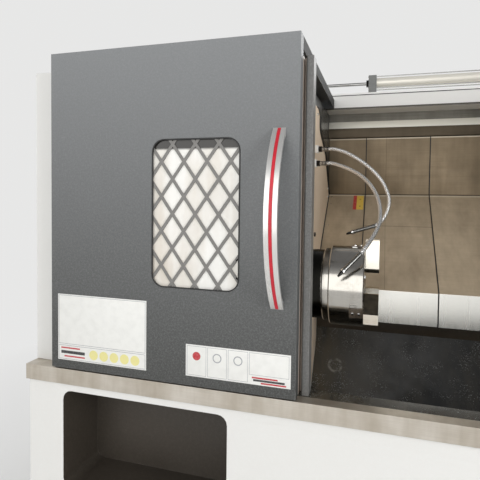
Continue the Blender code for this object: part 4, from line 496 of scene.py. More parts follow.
def powder_paint(name, colour, speck, grain, amount, smudge, roughness, bump_mm, edge_colour, edge_amount,
        edge_width=0.0012, gloss=0.5, painted_sheen=None, scuffs=0.5):
    """A painted sheet finish: grain, faint clouds, and paint rubbed thin along the folds; on the
    door and its post the rubbed edge colour is also a painted highlight.

    painted_sheen is (low, high, colour, share): a colour that grows lighter with height, a
    painted sheen of the light on the upper part."""
    material, tree, principled = start_material(name, roughness, 0, colour, Specular_IOR_Level=gloss)
    place = object_place(tree)
    paint = use_group(tree, powder, Vector=place, Color=colour, Speck_Color=speck, Grain=grain, Amount=amount,
        Smudge=smudge, Roughness=roughness)
    mask = use_group(tree, wear, Vector=place, Width=edge_width, Amount=edge_amount)["Mask"]
    rubbed = use_group(tree, scuffing, Vector=place, Amount=scuffs)["Mask"]
    coat = paint["Color"]
    # Painted sheen: the coat is mixed towards a lighter colour with height, for the light on the upper part.
    if painted_sheen:
        low, high, sheen_colour, share = painted_sheen
        rise = split(place)["Z"]
        coat = blend_colours(stretch(rise, low, high, 0, share), coat, sheen_colour)
    give(principled, Base_Color=blend_colours(maths("MAXIMUM", mask, rubbed), coat, edge_colour),
        Roughness=paint["Roughness"])
    bump(principled, paint["Height"], bump_mm / 1000)
    return material


def cut_by(shape, place, normal):
    """Splits a shape's faces along a plane."""
    bmesh.ops.bisect_plane(shape, geom=shape.verts[:] + shape.edges[:] + shape.faces[:], dist=1e-6, plane_co=place,
        plane_no=normal)


def thicken(shape, move):
    """Gives a sheet its thickness."""
    grown = bmesh.ops.extrude_face_region(shape, geom=shape.faces[:])["geom"]
    bmesh.ops.translate(shape, verts=[v for v in grown if isinstance(v, bmesh.types.BMVert)], vec=move)
    bmesh.ops.recalc_face_normals(shape, faces=shape.faces)


FLAT_ANGLE = math.radians(0.6)
MERGE_NEAR = 1e-5


def take_node(node):
    """A merged copy of a node's solid, with its flat faces in one piece."""
    shape = bmesh.new()
    shape.from_mesh(nodes[node].data)
    bmesh.ops.remove_doubles(shape, verts=shape.verts, dist=MERGE_NEAR)
    bmesh.ops.dissolve_limit(shape, angle_limit=FLAT_ANGLE, verts=shape.verts, edges=shape.edges)
    return shape


def soften(piece, width, segments):
    """Rounds a piece's edges."""
    rounding = piece.modifiers.new("edges", "BEVEL")
    rounding.width = width
    rounding.segments = segments
    rounding.limit_method = "ANGLE"
    rounding.angle_limit = math.radians(40)
    rounding.harden_normals = True


def dress(node, material, edge=0, segments=2, sharp_deg=35, cuts=(), well=None):
    """The node's own shape with rounded edges and smooth round faces, standing for the node.

    cuts are planes (place, normal) that split its faces where the finish changes. well picks
    a face that is pressed in by 2 mm."""
    shape = take_node(node)
    for place, normal in cuts:
        cut_by(shape, at(*place), normal)
    if well:
        chosen = [face for face in shape.faces if well(face.calc_center_median() - DATUM, face.normal)]
        bmesh.ops.inset_individual(shape, faces=chosen, thickness=0.0004, depth=-0.002)
    piece = finish_piece(node + "_dressed", shape, material, node_body[node], sharp_deg)
    if edge:
        soften(piece, edge, segments)
    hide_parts(node)
    return piece


# Door paint: its last argument paints the coat lighter towards the top, a painted sheen, and its light edge colour
# is rubbed paint and a painted highlight along the edges.
door_paint = powder_paint("door_grey_powder", (0.051, 0.052, 0.049), (0.235, 0.24, 0.24), 430, 0.34, 0.07, 0.48,
    0.05, (0.42, 0.42, 0.41), 0.75, 0.0016, 0.28, (at(0, 0, 0).z, at(0, 0, 1).z, (0.38, 0.395, 0.41), 0.53))
shell = dress("door_shell", door_paint, 0.0014, 3, cuts=(((0, 0.0405, 0), TO_REAR),))
# A darker copy of the door paint on the shell's side flanges: painted shade on faces turned from the light.
flange_painted_shade = powder_paint("flange_shaded_powder", (0.026, 0.026, 0.025), (0.08, 0.08, 0.08), 430, 0.3, 0.05, 0.6,
    0.05, (0.3, 0.3, 0.29), 0.5, 0.0012, 0.1)
paint_faces(shell, flange_painted_shade, lambda middle, normal:
    abs(normal.x) > 0.9 and middle.x > -0.1 and middle.y > 0.0405)
dress("door_hanger", door_paint, 0.001)
dress("right_front_cover", door_paint, 0.0014, 3)


def add_screw(shape, place, facing, radius):
    """A socket-head screw with a rounded rim, its head standing out along facing."""
    head = bmesh.new()
    bmesh.ops.create_cone(head, cap_ends=True, segments=18, radius1=radius, radius2=radius, depth=radius * 1.1)
    top = max(head.faces, key=lambda face: face.calc_center_median().z)
    bmesh.ops.bevel(head, geom=list(top.edges), offset=radius * 0.2, segments=2, profile=0.5, affect="EDGES",
        material=-1)
    top = max(head.faces, key=lambda face: face.calc_center_median().z)
    bmesh.ops.inset_region(head, faces=[top], thickness=radius * 0.32)
    down = bmesh.ops.extrude_discrete_faces(head, faces=[top])["faces"][0]
    bmesh.ops.translate(head, verts=down.verts, vec=(0, 0, -radius * 0.5))
    join(shape, head, aim(place, facing))


def screws(name, places, facing, radius, material, body="root"):
    return finish_piece(name, gather(add_screw, *((at(*place), facing, radius) for place in places)), material,
        body)


screws("hanger_screws", [(x, y, 1.0155) for x in (-0.725, -0.689) for y in (0.834, 0.862)], UP, 0.0055, blacked,
    "door")


# Window: a rubber edging clipped on the cut sheet, a pierced diamond plate behind it and a
# pane behind that, painted milky cream as a painted reflection, smeared by oil that has run
# down it, and painted dark along its top as painted shade.
rubber, rubber_tree, rubber_shader = start_material("black_rubber", 0.55, 0, (0.018, 0.018, 0.018))
rubber_grain = noise(object_place(rubber_tree), 600)
bump(rubber_shader, rubber_grain, 0.0001)
dress("window_gasket", rubber, 0.0009, 3)

grille_paint = powder_paint("grille_paint", (0.165, 0.16, 0.15), (0.33, 0.32, 0.31), 420, 0.3, 0.2, 0.36, 0.03,
    (0.5, 0.49, 0.47), 0.6, 0.0008)
GRILLE_FRONT = 0.0028
GRILLE_THICK = 0.003
STRAND = 0.009
DIAMOND = (0.036, 0.051)
OPENING = ((-0.446, 0.278), (-0.159, 0.729))
PLATE_CORNERS = ((-0.462, 0.274), (-0.45, 0.262), (-0.155, 0.262), (-0.143, 0.274), (-0.143, 0.733),
    (-0.155, 0.745), (-0.45, 0.745), (-0.462, 0.733))
grille = bmesh.new()
grille.faces.new([grille.verts.new(at(x, GRILLE_FRONT, z)) for x, z in PLATE_CORNERS])
grille_middle = at(-0.3025, GRILLE_FRONT, 0.5035)
strand_across = [Vector((1 / DIAMOND[0], 0, side / DIAMOND[1])) for side in (1, -1)]
cut_planes = [(at(x, 0, z), normal) for x, z in OPENING for normal in (Vector(RIGHT), Vector(UP))]
for across in strand_across:
    for strand in range(-10, 11, 2):
        for side in (-0.5, 0.5):
            cut_planes.append((grille_middle + across * (strand
                + side * STRAND * across.length) / across.length_squared, across))
for place, normal in cut_planes:
    cut_by(grille, place, normal)


def in_diamond(face):
    """True where a face of the cut plate lies in a hole, clear of the strands of both slants."""
    middle = face.calc_center_median()
    spot = middle - at(0, 0, 0)
    if not (OPENING[0][0] < spot.x < OPENING[1][0] and OPENING[0][1] < spot.z < OPENING[1][1]):
        return False
    for across in strand_across:
        count = (middle - grille_middle).dot(across)
        if abs(count - 2 * round(count / 2)) < 0.5 * STRAND * across.length:
            return False
    return True


bmesh.ops.delete(grille, geom=[face for face in grille.faces if in_diamond(face)], context="FACES")
thicken(grille, (0, GRILLE_THICK, 0))
lattice = finish_piece("window_lattice", grille, grille_paint, "door")
soften(lattice, 0.001, 2)
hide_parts("window_grille")

pane, pane_tree, pane_shader = start_material("window_pane", 0.05, 0, (0.93, 0.92, 0.88), Alpha=0.4)
pane.blend_method = "BLEND"
# The pane is painted a nearly opaque milky cream, a painted reflection of the bright surroundings, with oil
# streaks; a band along its top is painted dark, a painted shade.
smear = stretch(noise(object_place(pane_tree, (11, 11, 2.2), turn=(0, 0.28, 0)), 1, 3), 0.38, 0.66)
pane_height = split(object_place(pane_tree))["Z"]
painted_top_shade = stretch(pane_height, 1.489, 1.496)
reflection_cream_and_smear = blend_colours(smear, (1, 0.99, 0.95), (0.86, 0.79, 0.69))
give(pane_shader, Base_Color=blend_colours(painted_top_shade, reflection_cream_and_smear, (0.035, 0.033, 0.03)),
    Alpha=maths("MAXIMUM", stretch(smear, 0, 1, 0.9, 0.78), painted_top_shade))
nodes["window_glass"].data.materials.clear()
nodes["window_glass"].data.materials.append(pane)


# Handle: a bowed band of brushed aluminium, bolted through the door at both ends, with a red
# strip set in a groove along its middle.
brushed, source, target = start_group("brushed_metal",
    {"Vector": None, "Color": (0.6, 0.6, 0.6), "Streak Color": (0.4, 0.4, 0.4), "Amount": 0.6, "Roughness": 0.3,
    "Spread": 0.2}, ("Color", "Roughness", "Height"))
streaks = noise(source["Vector"], 1, 4, 0.6)
broad = noise(source["Vector"], 0.12, 2, 0.5)
line = stretch(streaks, 0.35, 0.68)
feed(target["Color"], blend_colours(times(line, source["Amount"]), source["Color"], source["Streak Color"]))
feed(target["Roughness"], plus(source["Roughness"], times(maths("SUBTRACT", broad, 0.5), source["Spread"])))
feed(target["Height"], line)


def brushed_paint(name, colour, streak, scale, amount, roughness, spread, bump_mm, metallic=1):
    """A bare sheet or bar with its grain along one axis; scale is dense across the grain."""
    material, tree, principled = start_material(name, roughness, metallic, colour)
    metal = use_group(tree, brushed, Vector=object_place(tree, scale), Color=colour, Streak_Color=streak,
        Amount=amount, Roughness=roughness, Spread=spread)
    give(principled, Base_Color=metal["Color"], Roughness=metal["Roughness"])
    bump(principled, metal["Height"], bump_mm / 1000)
    return material


handle_metal = brushed_paint("handle_aluminium", (0.8, 0.79, 0.77), (0.58, 0.57, 0.55), (900, 30, 12), 0.5, 0.3,
    0.15, 0.02, metallic=0.7)
dress("handle_band", handle_metal, 0.0014, 3)
inlay, inlay_tree, inlay_shader = start_material("red_inlay", 0.35, 0, (0.6, 0.015, 0.035))
inlay_fade = noise(object_place(inlay_tree), 60, 3)
give(inlay_shader, Base_Color=blend_colours(stretch(inlay_fade, 0.4, 0.7), (0.62, 0.015, 0.035),
    (0.5, 0.012, 0.028)))
dress("handle_stripe", inlay, 0.0002, 1)
BOW_HALF = 0.249
BOW_DEEP = 0.1
BOW_MIDDLE = 0.496
STRIPE_LEFT = -0.0595
STRIPE_WIDE = 0.009
CAP_THICK = 0.0006
bow_radius = (BOW_HALF ** 2 + BOW_DEEP ** 2) / (2 * BOW_DEEP)
for end, way in (("upper", 1), ("lower", -1)):
    bow = bmesh.new()
    line = []
    for lean in (0.907, 0.937, 0.967, 0.993):
        angle = math.asin(BOW_HALF / bow_radius) * lean
        for reach in (bow_radius, bow_radius + CAP_THICK):
            line.append(bow.verts.new(at(STRIPE_LEFT, bow_radius - BOW_DEEP - reach * math.cos(angle),
                BOW_MIDDLE + way * reach * math.sin(angle))))
    for near, far in zip(range(0, 6, 2), range(2, 8, 2)):
        bow.faces.new((line[near], line[near + 1], line[far + 1], line[far]))
    thicken(bow, (STRIPE_WIDE, 0, 0))
    finish_piece("handle_stripe_end_" + end, bow, inlay, "door")


# Label plates on the door: two white plastic plates stuck to the sheet, with thin grey frames
# printed on them, five plain yellow discs and a few plain red bars.
plate_white, plate_tree, plate_shader = start_material("plate_white", 0.35, 0, (0.86, 0.86, 0.84))
faint = noise(object_place(plate_tree), 40, 3)
give(plate_shader, Base_Color=blend_colours(stretch(faint, 0.4, 0.7), (0.84, 0.84, 0.81), (0.79, 0.79, 0.76)))


def printed_ink(name, colour):
    """Ink on a plate, a little uneven where it was rubbed."""
    material, tree, principled = start_material(name, 0.42, 0, colour)
    rub = stretch(noise(object_place(tree), 220, 3), 0.35, 0.75, 0, 0.35)
    give(principled, Base_Color=blend_colours(rub, colour, tuple(0.6 * c + 0.3 for c in colour)))
    return material


plate_line = printed_ink("plate_line", (0.36, 0.37, 0.39))
plate_yellow = printed_ink("plate_yellow", (0.8, 0.74, 0.3))
plate_red = printed_ink("plate_red", (0.5, 0.02, 0.03))
plate_black = printed_ink("plate_black", (0.02, 0.02, 0.02))
PLATE_THICK = 0.0009
LINE_PROUD = 0.00012


def add_box(shape, low, high, edge=0):
    part = bmesh.new()
    bmesh.ops.create_cube(part, size=1)
    size = Vector(high) - Vector(low)
    bmesh.ops.scale(part, vec=size, verts=part.verts)
    if edge:
        bmesh.ops.bevel(part, geom=part.edges[:], offset=edge, segments=2, profile=0.5, affect="EDGES",
            material=-1)
    join(shape, part, Matrix.Translation((Vector(high) + Vector(low)) / 2))


def sleeve_outline(inner, outer, long):
    return [(inner, 0), (outer, 0), (outer, long), (inner, long)]


def add_disc(shape, centre, radius, thick, facing=TO_FRONT):
    back = Vector(centre) - Vector(facing) * thick / 2
    add_spun(shape, sleeve_outline(0, radius, thick), back, facing, 40)


def boxes(name, spans, material, edge=0, body="root"):
    """Boxes given as x, y and z spans from the datum, as one piece."""
    shape = gather(add_box, *((at(x[0], y[0], z[0]), at(x[1], y[1], z[1]), edge) for x, y, z in spans))
    return finish_piece(name, shape, material, body)


PLATE_FRONT = -0.0002
face = PLATE_FRONT - PLATE_THICK
ink = (face - LINE_PROUD, face)


def frames(name, outlines, wide, material):
    """Thin printed frames as raised lines round each outline (x0, x1, z0, z1) on a door plate."""
    spans = []
    for x0, x1, z0, z1 in outlines:
        for x, z in (((x0, x1), (z0, z0 + wide)), ((x0, x1), (z1 - wide, z1)),
                ((x0, x0 + wide), (z0 + wide, z1 - wide)), ((x1 - wide, x1), (z0 + wide, z1 - wide))):
            spans.append((x, ink, z))
    return boxes(name, spans, material, body="door")


boxes("notice_plate", [((-0.772, -0.456), (face, PLATE_FRONT), (0.027, 0.239))], plate_white,
    0.0003, "door")
frames("notice_frames", [(-0.769, -0.459, 0.079, 0.236), (-0.769, -0.459, 0.03, 0.075)], 0.0014, plate_line)
discs = gather(add_disc, *((at(-0.64 + i * 0.0365, face - LINE_PROUD / 2, 0.0525), 0.0155, LINE_PROUD)
    for i in range(5)))
finish_piece("notice_discs", discs, plate_yellow, "door")
boxes("notice_bars", [((-0.76, -0.69), ink, (0.064, 0.0685)), ((-0.748, -0.672), ink, (0.0375, 0.042))], plate_red,
    body="door")
boxes("notice_bar_black", [((-0.76, -0.672), ink, (0.048, 0.0575))], plate_black, body="door")
boxes("guide_plate", [((-0.326, -0.0135), (face, PLATE_FRONT), (0.029, 0.123))], plate_white,
    0.0003, "door")
frames("guide_frames", [(-0.322, -0.262, 0.033, 0.119), (-0.258, -0.199, 0.033, 0.119),
    (-0.195, -0.136, 0.033, 0.119), (-0.132, -0.018, 0.056, 0.119)], 0.001, plate_line)
boxes("guide_bars", [((-0.124, -0.05), ink, (0.0465, 0.051)), ((-0.098, -0.026), ink, (0.0325, 0.037))], plate_red,
    body="door")
boxes("guide_bar_black", [((-0.12, -0.03), ink, (0.0388, 0.0448))], plate_black, body="door")
disc = gather(add_disc, (at(-0.292, face - LINE_PROUD / 2, 0.09), 0.0125, LINE_PROUD))
finish_piece("guide_disc", disc, plate_red, "door")
rings = gather(add_spun, *((sleeve_outline(0.0105, 0.0135, LINE_PROUD), at(x, face, 0.09), TO_FRONT, 40)
    for x in (-0.2285, -0.1655)))
finish_piece("guide_rings", rings, plate_line, "door")


# White covers: headstock cover, base, top beam, end covers and the cabinet, in a satin off-white
# enamel that is a little yellowed and rubbed at the corners, on levelling feet of blacked steel.
white = powder_paint("white_enamel", (0.8, 0.795, 0.77), (0.85, 0.85, 0.835), 260, 0.25, 0.12, 0.38, 0.02,
    (0.52, 0.51, 0.49), 0.3, scuffs=0)
# Dark brown paint standing for painted shade in a recess.
recess_painted_shade = powder_paint("recess_painted_shade", (0.045, 0.037, 0.028), (0.09, 0.075, 0.06), 200, 0.4, 0.4, 0.5, 0.03,
    (0.16, 0.14, 0.11), 0.5)
for node in ("headstock_cover", "right_end_cover"):
    dress(node, white, 0.0015)
left_end = dress("left_end_cover", white, 0.0015)
dress("electrical_cabinet", white, 0.001)


def in_latch(middle, normal):
    """True on the cabinet door's outer face where its flush latch sits."""
    return 0.944 < middle.x < 0.976 and 0.38 < middle.z < 0.56 and normal.y > 0.9


latched_door = dress("cabinet_door", white, 0.0012,
    cuts=(((0.945, 0, 0), RIGHT), ((0.975, 0, 0), RIGHT), ((0, 0, 0.385), UP), ((0, 0, 0.555), UP)), well=in_latch)
paint_faces(latched_door, blacked, in_latch)
base = dress("base_frame", white, 0.0015)
paint_faces(base, blacked, lambda middle, normal: middle.z < -0.7455)
# The toe recess's inner faces are painted dark brown: painted shade inside the recess.
paint_faces(base, recess_painted_shade, lambda middle, normal:
    -0.7625 < middle.x < -0.1995 and -0.4005 < middle.z < -0.0785 and 0.0115 < middle.y < 0.202)
dress("top_beam", white, 0.0015)
# A thin dark strip along the beam's lower front edge: painted shade under the beam.
beam_underside_shade = powder_paint("beam_underside_shade", (0.055, 0.048, 0.036), (0.1, 0.09, 0.075), 260, 0.3, 0.3, 0.42, 0.02,
    (0.4, 0.38, 0.34), 0.4)
boxes("beam_shade_strip", [((-0.876, 1.167), (0.9096, 0.9101), (0.9555, 0.9632))], beam_underside_shade)
boxes("beam_top_seal", [((-0.876, 1.167), (0.9094, 0.9101), (1.0158, 1.0192))], rubber)
SCREW_STANDS = 0.0036
end_face = at(-0.8995, 0, 0).x
for corner in left_end.data.vertices:
    if corner.co.x < end_face:
        corner.co.x += SCREW_STANDS
screws("end_cover_screws", [(-0.9003 + SCREW_STANDS, y, z) for y in (0.125, 1.066) for z in (0.02, 0.45, 0.92)],
    LEFT, 0.0055, blacked)
screws("right_cover_screws", [(1.4973, y, z) for y in (0.06, 0.7, 1.36) for z in (0.03, 0.48, 0.93)], RIGHT,
    0.0022, blacked)
screws("case_roof_screws", [(x, y, 0.96) for x in (-0.86, -0.62, -0.38, -0.14) for y in (0.09, 0.87)], UP, 0.0045,
    bright_plate)


# Wall fittings of the hoses: a white nylon block screwed to the plate, with a blacked hexagon
# nut that holds the sleeve.
BLOCK_HALF = 0.014
NUT_BACK = -0.0165
NUT_OUTLINE = [(0.007, 0), (0.0104, 0), (0.0116, 0.0012), (0.0116, 0.012), (0.0104, 0.0132), (0.007, 0.0132)]
for which, (_, y, z) in (("upper", UPPER_ROUTE[0]), ("lower", LOWER_ROUTE[0])):
    block = gather(add_box, (at(-0.0297, y - BLOCK_HALF, z - BLOCK_HALF),
        at(NUT_BACK, y + BLOCK_HALF, z + BLOCK_HALF), 0.0016))
    fitting = finish_piece("hose_block_" + which, block, white)
    finish_piece("hose_nut_" + which, gather(add_spun, (NUT_OUTLINE, at(NUT_BACK, y, z), RIGHT, 6)), blacked)
    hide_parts("hose_fitting_" + which)


# Door post: a folded strip in the same textured grey as the door, with a brownish rubbing
# groove where the door's edge runs.
# The post's light rubbed edge colour is also a painted highlight along its edges.
post_paint = powder_paint("post_grey", (0.125, 0.123, 0.118), (0.32, 0.32, 0.31), 430, 0.4, 0.15, 0.45, 0.05,
    (0.52, 0.52, 0.51), 0.85, 0.0018)
post = dress("door_post", post_paint, 0.0012, 3)
groove_paint = powder_paint("groove_brown", (0.46, 0.39, 0.33), (0.54, 0.47, 0.41), 300, 0.3, 0.3, 0.5, 0.03,
    (0.4, 0.36, 0.32), 0.4)
paint_faces(post, groove_paint, lambda middle, normal: 0 <= middle.x <= 0.0121 and 0.0465 < middle.y < 0.091)


# Stainless sheet: way covers, rear wall, sill and the plate round the spindle nose. All are
# brushed, and inside the chamber they carry a brown film of oil. Along the folds there are
# painted lines: painted shade above the crease and painted highlights under it and along the covers' top.
stained, source, target = start_group("oil_film",
    {"Vector": None, "Color": (0.5, 0.5, 0.5), "Film Color": (0.2, 0.16, 0.1), "Amount": 0.5, "Scale": 5.0},
    ("Color", "Mask"))
film = noise(source["Vector"], source["Scale"], 4, 0.62)
runs_down = noise(put(stained, "ShaderNodeMapping", Vector=source["Vector"], Scale=(14, 6, 1.4)).outputs["Vector"],
    1.6, 3, 0.6)
film_mask = stretch(plus(times(film, 0.6), times(runs_down, 0.4)), 0.36, 0.62)
film_share = times(film_mask, source["Amount"])
feed(target["Color"], blend_colours(film_share, source["Color"], source["Film Color"]))
feed(target["Mask"], film_share)


def stainless_paint(name, colour, streak, film_colour, scale, amount, film_amount, film_scale, roughness, spread,
        metallic=1, lines=()):
    """Brushed sheet with an oil film; lines are (axis, place, half width, colour, share) across it."""
    material, tree, principled = start_material(name, roughness, metallic, colour)
    metal = use_group(tree, brushed, Vector=object_place(tree, scale), Color=colour, Streak_Color=streak,
        Amount=amount, Roughness=roughness, Spread=spread)
    film = use_group(tree, stained, Vector=object_place(tree), Color=metal["Color"], Film_Color=film_colour,
        Amount=film_amount, Scale=film_scale)
    shade = film["Color"]
    sides = split(object_place(tree))
    for axis, place, half, line_colour, share in lines:
        away = maths("ABSOLUTE", maths("SUBTRACT", sides[axis], place))
        drawn = times(stretch(away, half, half * 0.5), share)
        shade = blend_colours(drawn, shade, line_colour)
    give(principled, Base_Color=shade, Roughness=plus(metal["Roughness"], times(film["Mask"], 0.12)))
    bump(principled, metal["Height"], 0.00002)
    return material


FOLD_SHADE_AND_SEAM = (0.02, 0.016, 0.012)
FOLD_HIGHLIGHT = (0.8, 0.72, 0.58)
crease = at(0, 0, 0.572).z
cover_top = at(0, 0, 0.838).z
# fold_lines: a dark line of painted shade above the crease and light lines of painted highlight just under it and
# along the covers' top edge; panel_lines are the dark seams.
fold_lines = [("Z", crease + 0.0012, 0.0022, FOLD_SHADE_AND_SEAM, 0.95), ("Z", crease - 0.005, 0.003, FOLD_HIGHLIGHT, 0.75),
    ("Z", cover_top - 0.003, 0.0034, FOLD_HIGHLIGHT, 0.85)]
panel_lines = [("X", at(0.232, 0, 0).x, 0.0008, FOLD_SHADE_AND_SEAM, 0.55), ("Z", at(0, 0, 0.4356).z, 0.001, FOLD_SHADE_AND_SEAM, 0.55)]
cover_values = ((0.34, 0.262, 0.165), (0.26, 0.198, 0.122), (0.175, 0.132, 0.082), (5, 420, 420), 0.6, 0.8, 4,
    0.46, 0.2, 0.35)
# The sloping faces get a lighter copy of the cover steel: painted light on faces that turn up to the light.
slope_lit_values = ((0.64, 0.52, 0.365), (0.52, 0.42, 0.29), (0.37, 0.29, 0.195), (5, 420, 420), 0.6, 0.8, 4, 0.46,
    0.2, 0.25)
cover_steel = stainless_paint("cover_stainless", *cover_values, lines=fold_lines)
middle_steel = stainless_paint("middle_cover_stainless", *cover_values, lines=fold_lines + panel_lines)
slope_painted_light = stainless_paint("slope_stainless", *slope_lit_values, lines=fold_lines)
middle_slope_painted_light = stainless_paint("middle_slope_stainless", *slope_lit_values, lines=fold_lines + panel_lines)
# The covers' front lips get a near-white copy of the cover steel: painted reflection of the bright front.
lip_painted_reflection = stainless_paint("lip_reflection_stainless", (1, 0.995, 0.95), (0.97, 0.96, 0.905), (0.9, 0.87, 0.77),
    (500, 6, 6), 0.3, 0.2, 6, 0.24, 0.1, 1)
for node, upright_steel, sloping_painted_light in (("way_cover_fixed", cover_steel, slope_painted_light),
        ("way_cover_middle", middle_steel, middle_slope_painted_light), ("way_cover_saddle", cover_steel, slope_painted_light)):
    cover = dress(node, upright_steel, 0.0007)
    paint_faces(cover, sloping_painted_light, lambda middle, normal: 0.5 < normal.z < 0.95)
    paint_faces(cover, lip_painted_reflection, lambda middle, normal: normal.y < -0.9 and middle.z < 0.21)
COVER_FOOT = (0.577, 0.20778)
COVER_LINE = ((0.577, 0.086), COVER_FOOT, (1.03, 0.572), (1.03, 0.838))


def folded_strip(x, near, far, line):
    """A thin strip that follows a fold line of (Y, Z), standing from near to far off it."""
    directions = [(Vector(b) - Vector(a)).normalized() for a, b in zip(line, line[1:])]
    shape = bmesh.new()
    edges = []
    for height in (near, far):
        row = []
        for i, point in enumerate(line):
            before = directions[max(i - 1, 0)]
            after = directions[min(i, len(directions) - 1)]
            off = Vector((-before.y - after.y, before.x + after.x)).normalized()
            reach = height / max(0.3, off.dot(Vector((-before.y, before.x))))
            row.append(shape.verts.new(at(x[0], point[0] + off.x * reach, point[1] + off.y * reach)))
        edges.append([shape.edges.new(pair) for pair in zip(row, row[1:])])
    bmesh.ops.bridge_loops(shape, edges=edges[0] + edges[1])
    thicken(shape, (x[1] - x[0], 0, 0))
    return shape


for which, x, near, far in (("middle", (0.1395, 0.1432), 0.0029, 0.0044),
        ("saddle", (0.4195, 0.4235), 0.0054, 0.0069)):
    wiper = folded_strip(x, near, far, COVER_LINE)
    finish_piece(which + "_cover_wiper", wiper, rubber, node_body["way_cover_" + which])

# A grey copy of the wall steel for the band under the top beam: painted shade under the beam.
wall_shade_band = stainless_paint("upper_wall_shade_band", (0.4, 0.39, 0.35), (0.15, 0.145, 0.13), (0.11, 0.1, 0.085),
    (5, 420, 420), 0.5, 0.5, 4, 0.42, 0.2, 0.5)
wall_brown = stainless_paint("wall_brown_stainless", (0.125, 0.1, 0.068), (0.09, 0.07, 0.048), (0.06, 0.047, 0.03),
    (5, 420, 420), 0.5, 0.5, 4, 0.42, 0.2, 0.7)
rear = dress("rear_wall", wall_brown, 0.0008)
# A cream copy of the wall steel on the ledge's upper face: painted reflection of the bright surroundings.
ledge_painted_reflection = stainless_paint("ledge_reflection_cream", (1, 0.99, 0.9), (0.97, 0.95, 0.84), (0.9, 0.87, 0.77),
    (500, 6, 6), 0.2, 0.1, 6, 0.34, 0.06, 0.45)
paint_faces(rear, ledge_painted_reflection, lambda middle, normal: normal.z > 0.2 and 0.886 < middle.z < 0.917)
paint_faces(rear, wall_shade_band, lambda middle, normal: middle.z > 0.9185 and middle.y > 1.0195)
paint_faces(rear, white, lambda middle, normal: normal.y > 0.5)

sill_steel = stainless_paint("sill_stainless", (0.71, 0.66, 0.59), (0.58, 0.54, 0.47), (0.4, 0.345, 0.27),
    (6, 500, 700), 0.5, 0.7, 6, 0.34, 0.2, 0.85)
sill = dress("front_sill", sill_steel, 0.001, cuts=(((0, 0.041, 0), TO_REAR), ((-0.0297, 0, 0), RIGHT),
    ((1.169, 0, 0), RIGHT)))
plate_steel = stainless_paint("tan_stainless", (0.95, 0.79, 0.615), (0.9, 0.74, 0.57), (0.74, 0.585, 0.435),
    (420, 5, 300), 0.4, 0.4, 5, 0.5, 0.2, 0)
dress("left_wall_plate", plate_steel, 0.0008)


def rod_along(points, radius):
    """A round rod through the points, as a shape."""
    curve = bpy.data.curves.new("line", "CURVE")
    curve.dimensions = "3D"
    curve.bevel_depth = radius
    curve.bevel_resolution = 4
    curve.use_fill_caps = True
    spline = curve.splines.new("POLY")
    spline.points.add(len(points) - 1)
    for spot, place in zip(spline.points, points):
        spot.co = (*place, 1)
    carrier = bpy.data.objects.new("line", curve)
    bpy.context.scene.collection.objects.link(carrier)
    mesh = carrier.to_mesh()
    shape = bmesh.new()
    shape.from_mesh(mesh)
    carrier.to_mesh_clear()
    bpy.data.objects.remove(carrier)
    bpy.data.curves.remove(curve)
    bmesh.ops.remove_doubles(shape, verts=shape.verts, dist=1e-6)
    bmesh.ops.recalc_face_normals(shape, faces=shape.faces)
    return shape


EDGING = [(0.56, 0.9045), (0.6, 0.9045), (0.638, 0.881), (0.651, 0.828), (0.746, 0.788), (0.846, 0.746),
    (0.935, 0.658), (1.02, 0.573), (0.926, 0.497), (0.83, 0.42), (0.715, 0.327), (0.574, 0.205), (0.573, 0.09)]
edging_route, _ = smooth_route([at(-0.0286, y, z) for y, z in EDGING], 90)
finish_piece("plate_edging", rod_along(edging_route, 0.0024), rubber)
thick_route, _ = smooth_route([at(-0.0276, y + 0.002, z + 0.001) for y, z in EDGING[2:8]], 50)
finish_piece("plate_edging_top", rod_along(thick_route, 0.0042), rubber)
WALL_FACE = -0.0295
screws("wall_plate_screws", [(WALL_FACE, y, z)
    for y, z in ((0.898, 0.386), (0.985, 0.56), (0.975, 0.6), (0.13, 0.6), (0.13, 0.88), (0.58, 0.88))], RIGHT,
    0.0048, bright_plate)
screws("wall_plate_bolts", [(WALL_FACE, y, z) for y, z in ((0.537, 0.414), (0.3, 0.46), (0.13, 0.06))], RIGHT,
    0.0085, blacked)


# Marker plate on the slope: a bare two-colour strip of enamelled tin, red and yellow, held by
# two small screws sunk flush, as the middle cover slides over them half a millimetre away.
SLOPE = math.radians(38.8)
SLOPE_UP = Vector((math.cos(SLOPE), math.sin(SLOPE)))
SLOPE_OFF = Vector((-SLOPE_UP.y, SLOPE_UP.x))


def on_cover(x, up, off):
    """A place on the sloping cover: up from the lip and off its face."""
    flat = Vector(COVER_FOOT) + SLOPE_UP * up + SLOPE_OFF * off
    return at(x, flat.x, flat.y)


marker_red = printed_ink("marker_red", (0.56, 0.035, 0.025))
marker_yellow = printed_ink("marker_yellow", (0.82, 0.55, 0.06))
for name, x, material in (("marker_plate_red", (0.0885, 0.104), marker_red),
        ("marker_plate_yellow", (0.1042, 0.1345), marker_yellow)):
    plate = gather(add_box, ((x[0], 0.47, 0.0001), (x[1], 0.572, 0.0003)))
    shape = bmesh.new()
    join(shape, plate, Matrix.Translation(at(0, *COVER_FOOT)) @ Matrix.Rotation(SLOPE, 4, "X"))
    finish_piece(name, shape, material)
slope_facing = (0, SLOPE_OFF.x, SLOPE_OFF.y)
marker_screws = gather(add_screw, *((on_cover(0.1195, up, -0.0016), slope_facing, 0.0036)
    for up in (0.495, 0.545)))
finish_piece("marker_plate_screws", marker_screws, blacked)
slope_screws = gather(add_screw, *((on_cover(x, up, -0.00195), slope_facing, 0.0042)
    for x, up in ((-0.014, 0.562), (-0.014, 0.508), (-0.012, 0.36), (-0.012, 0.12))))
finish_piece("slope_screws", slope_screws, bright_plate)


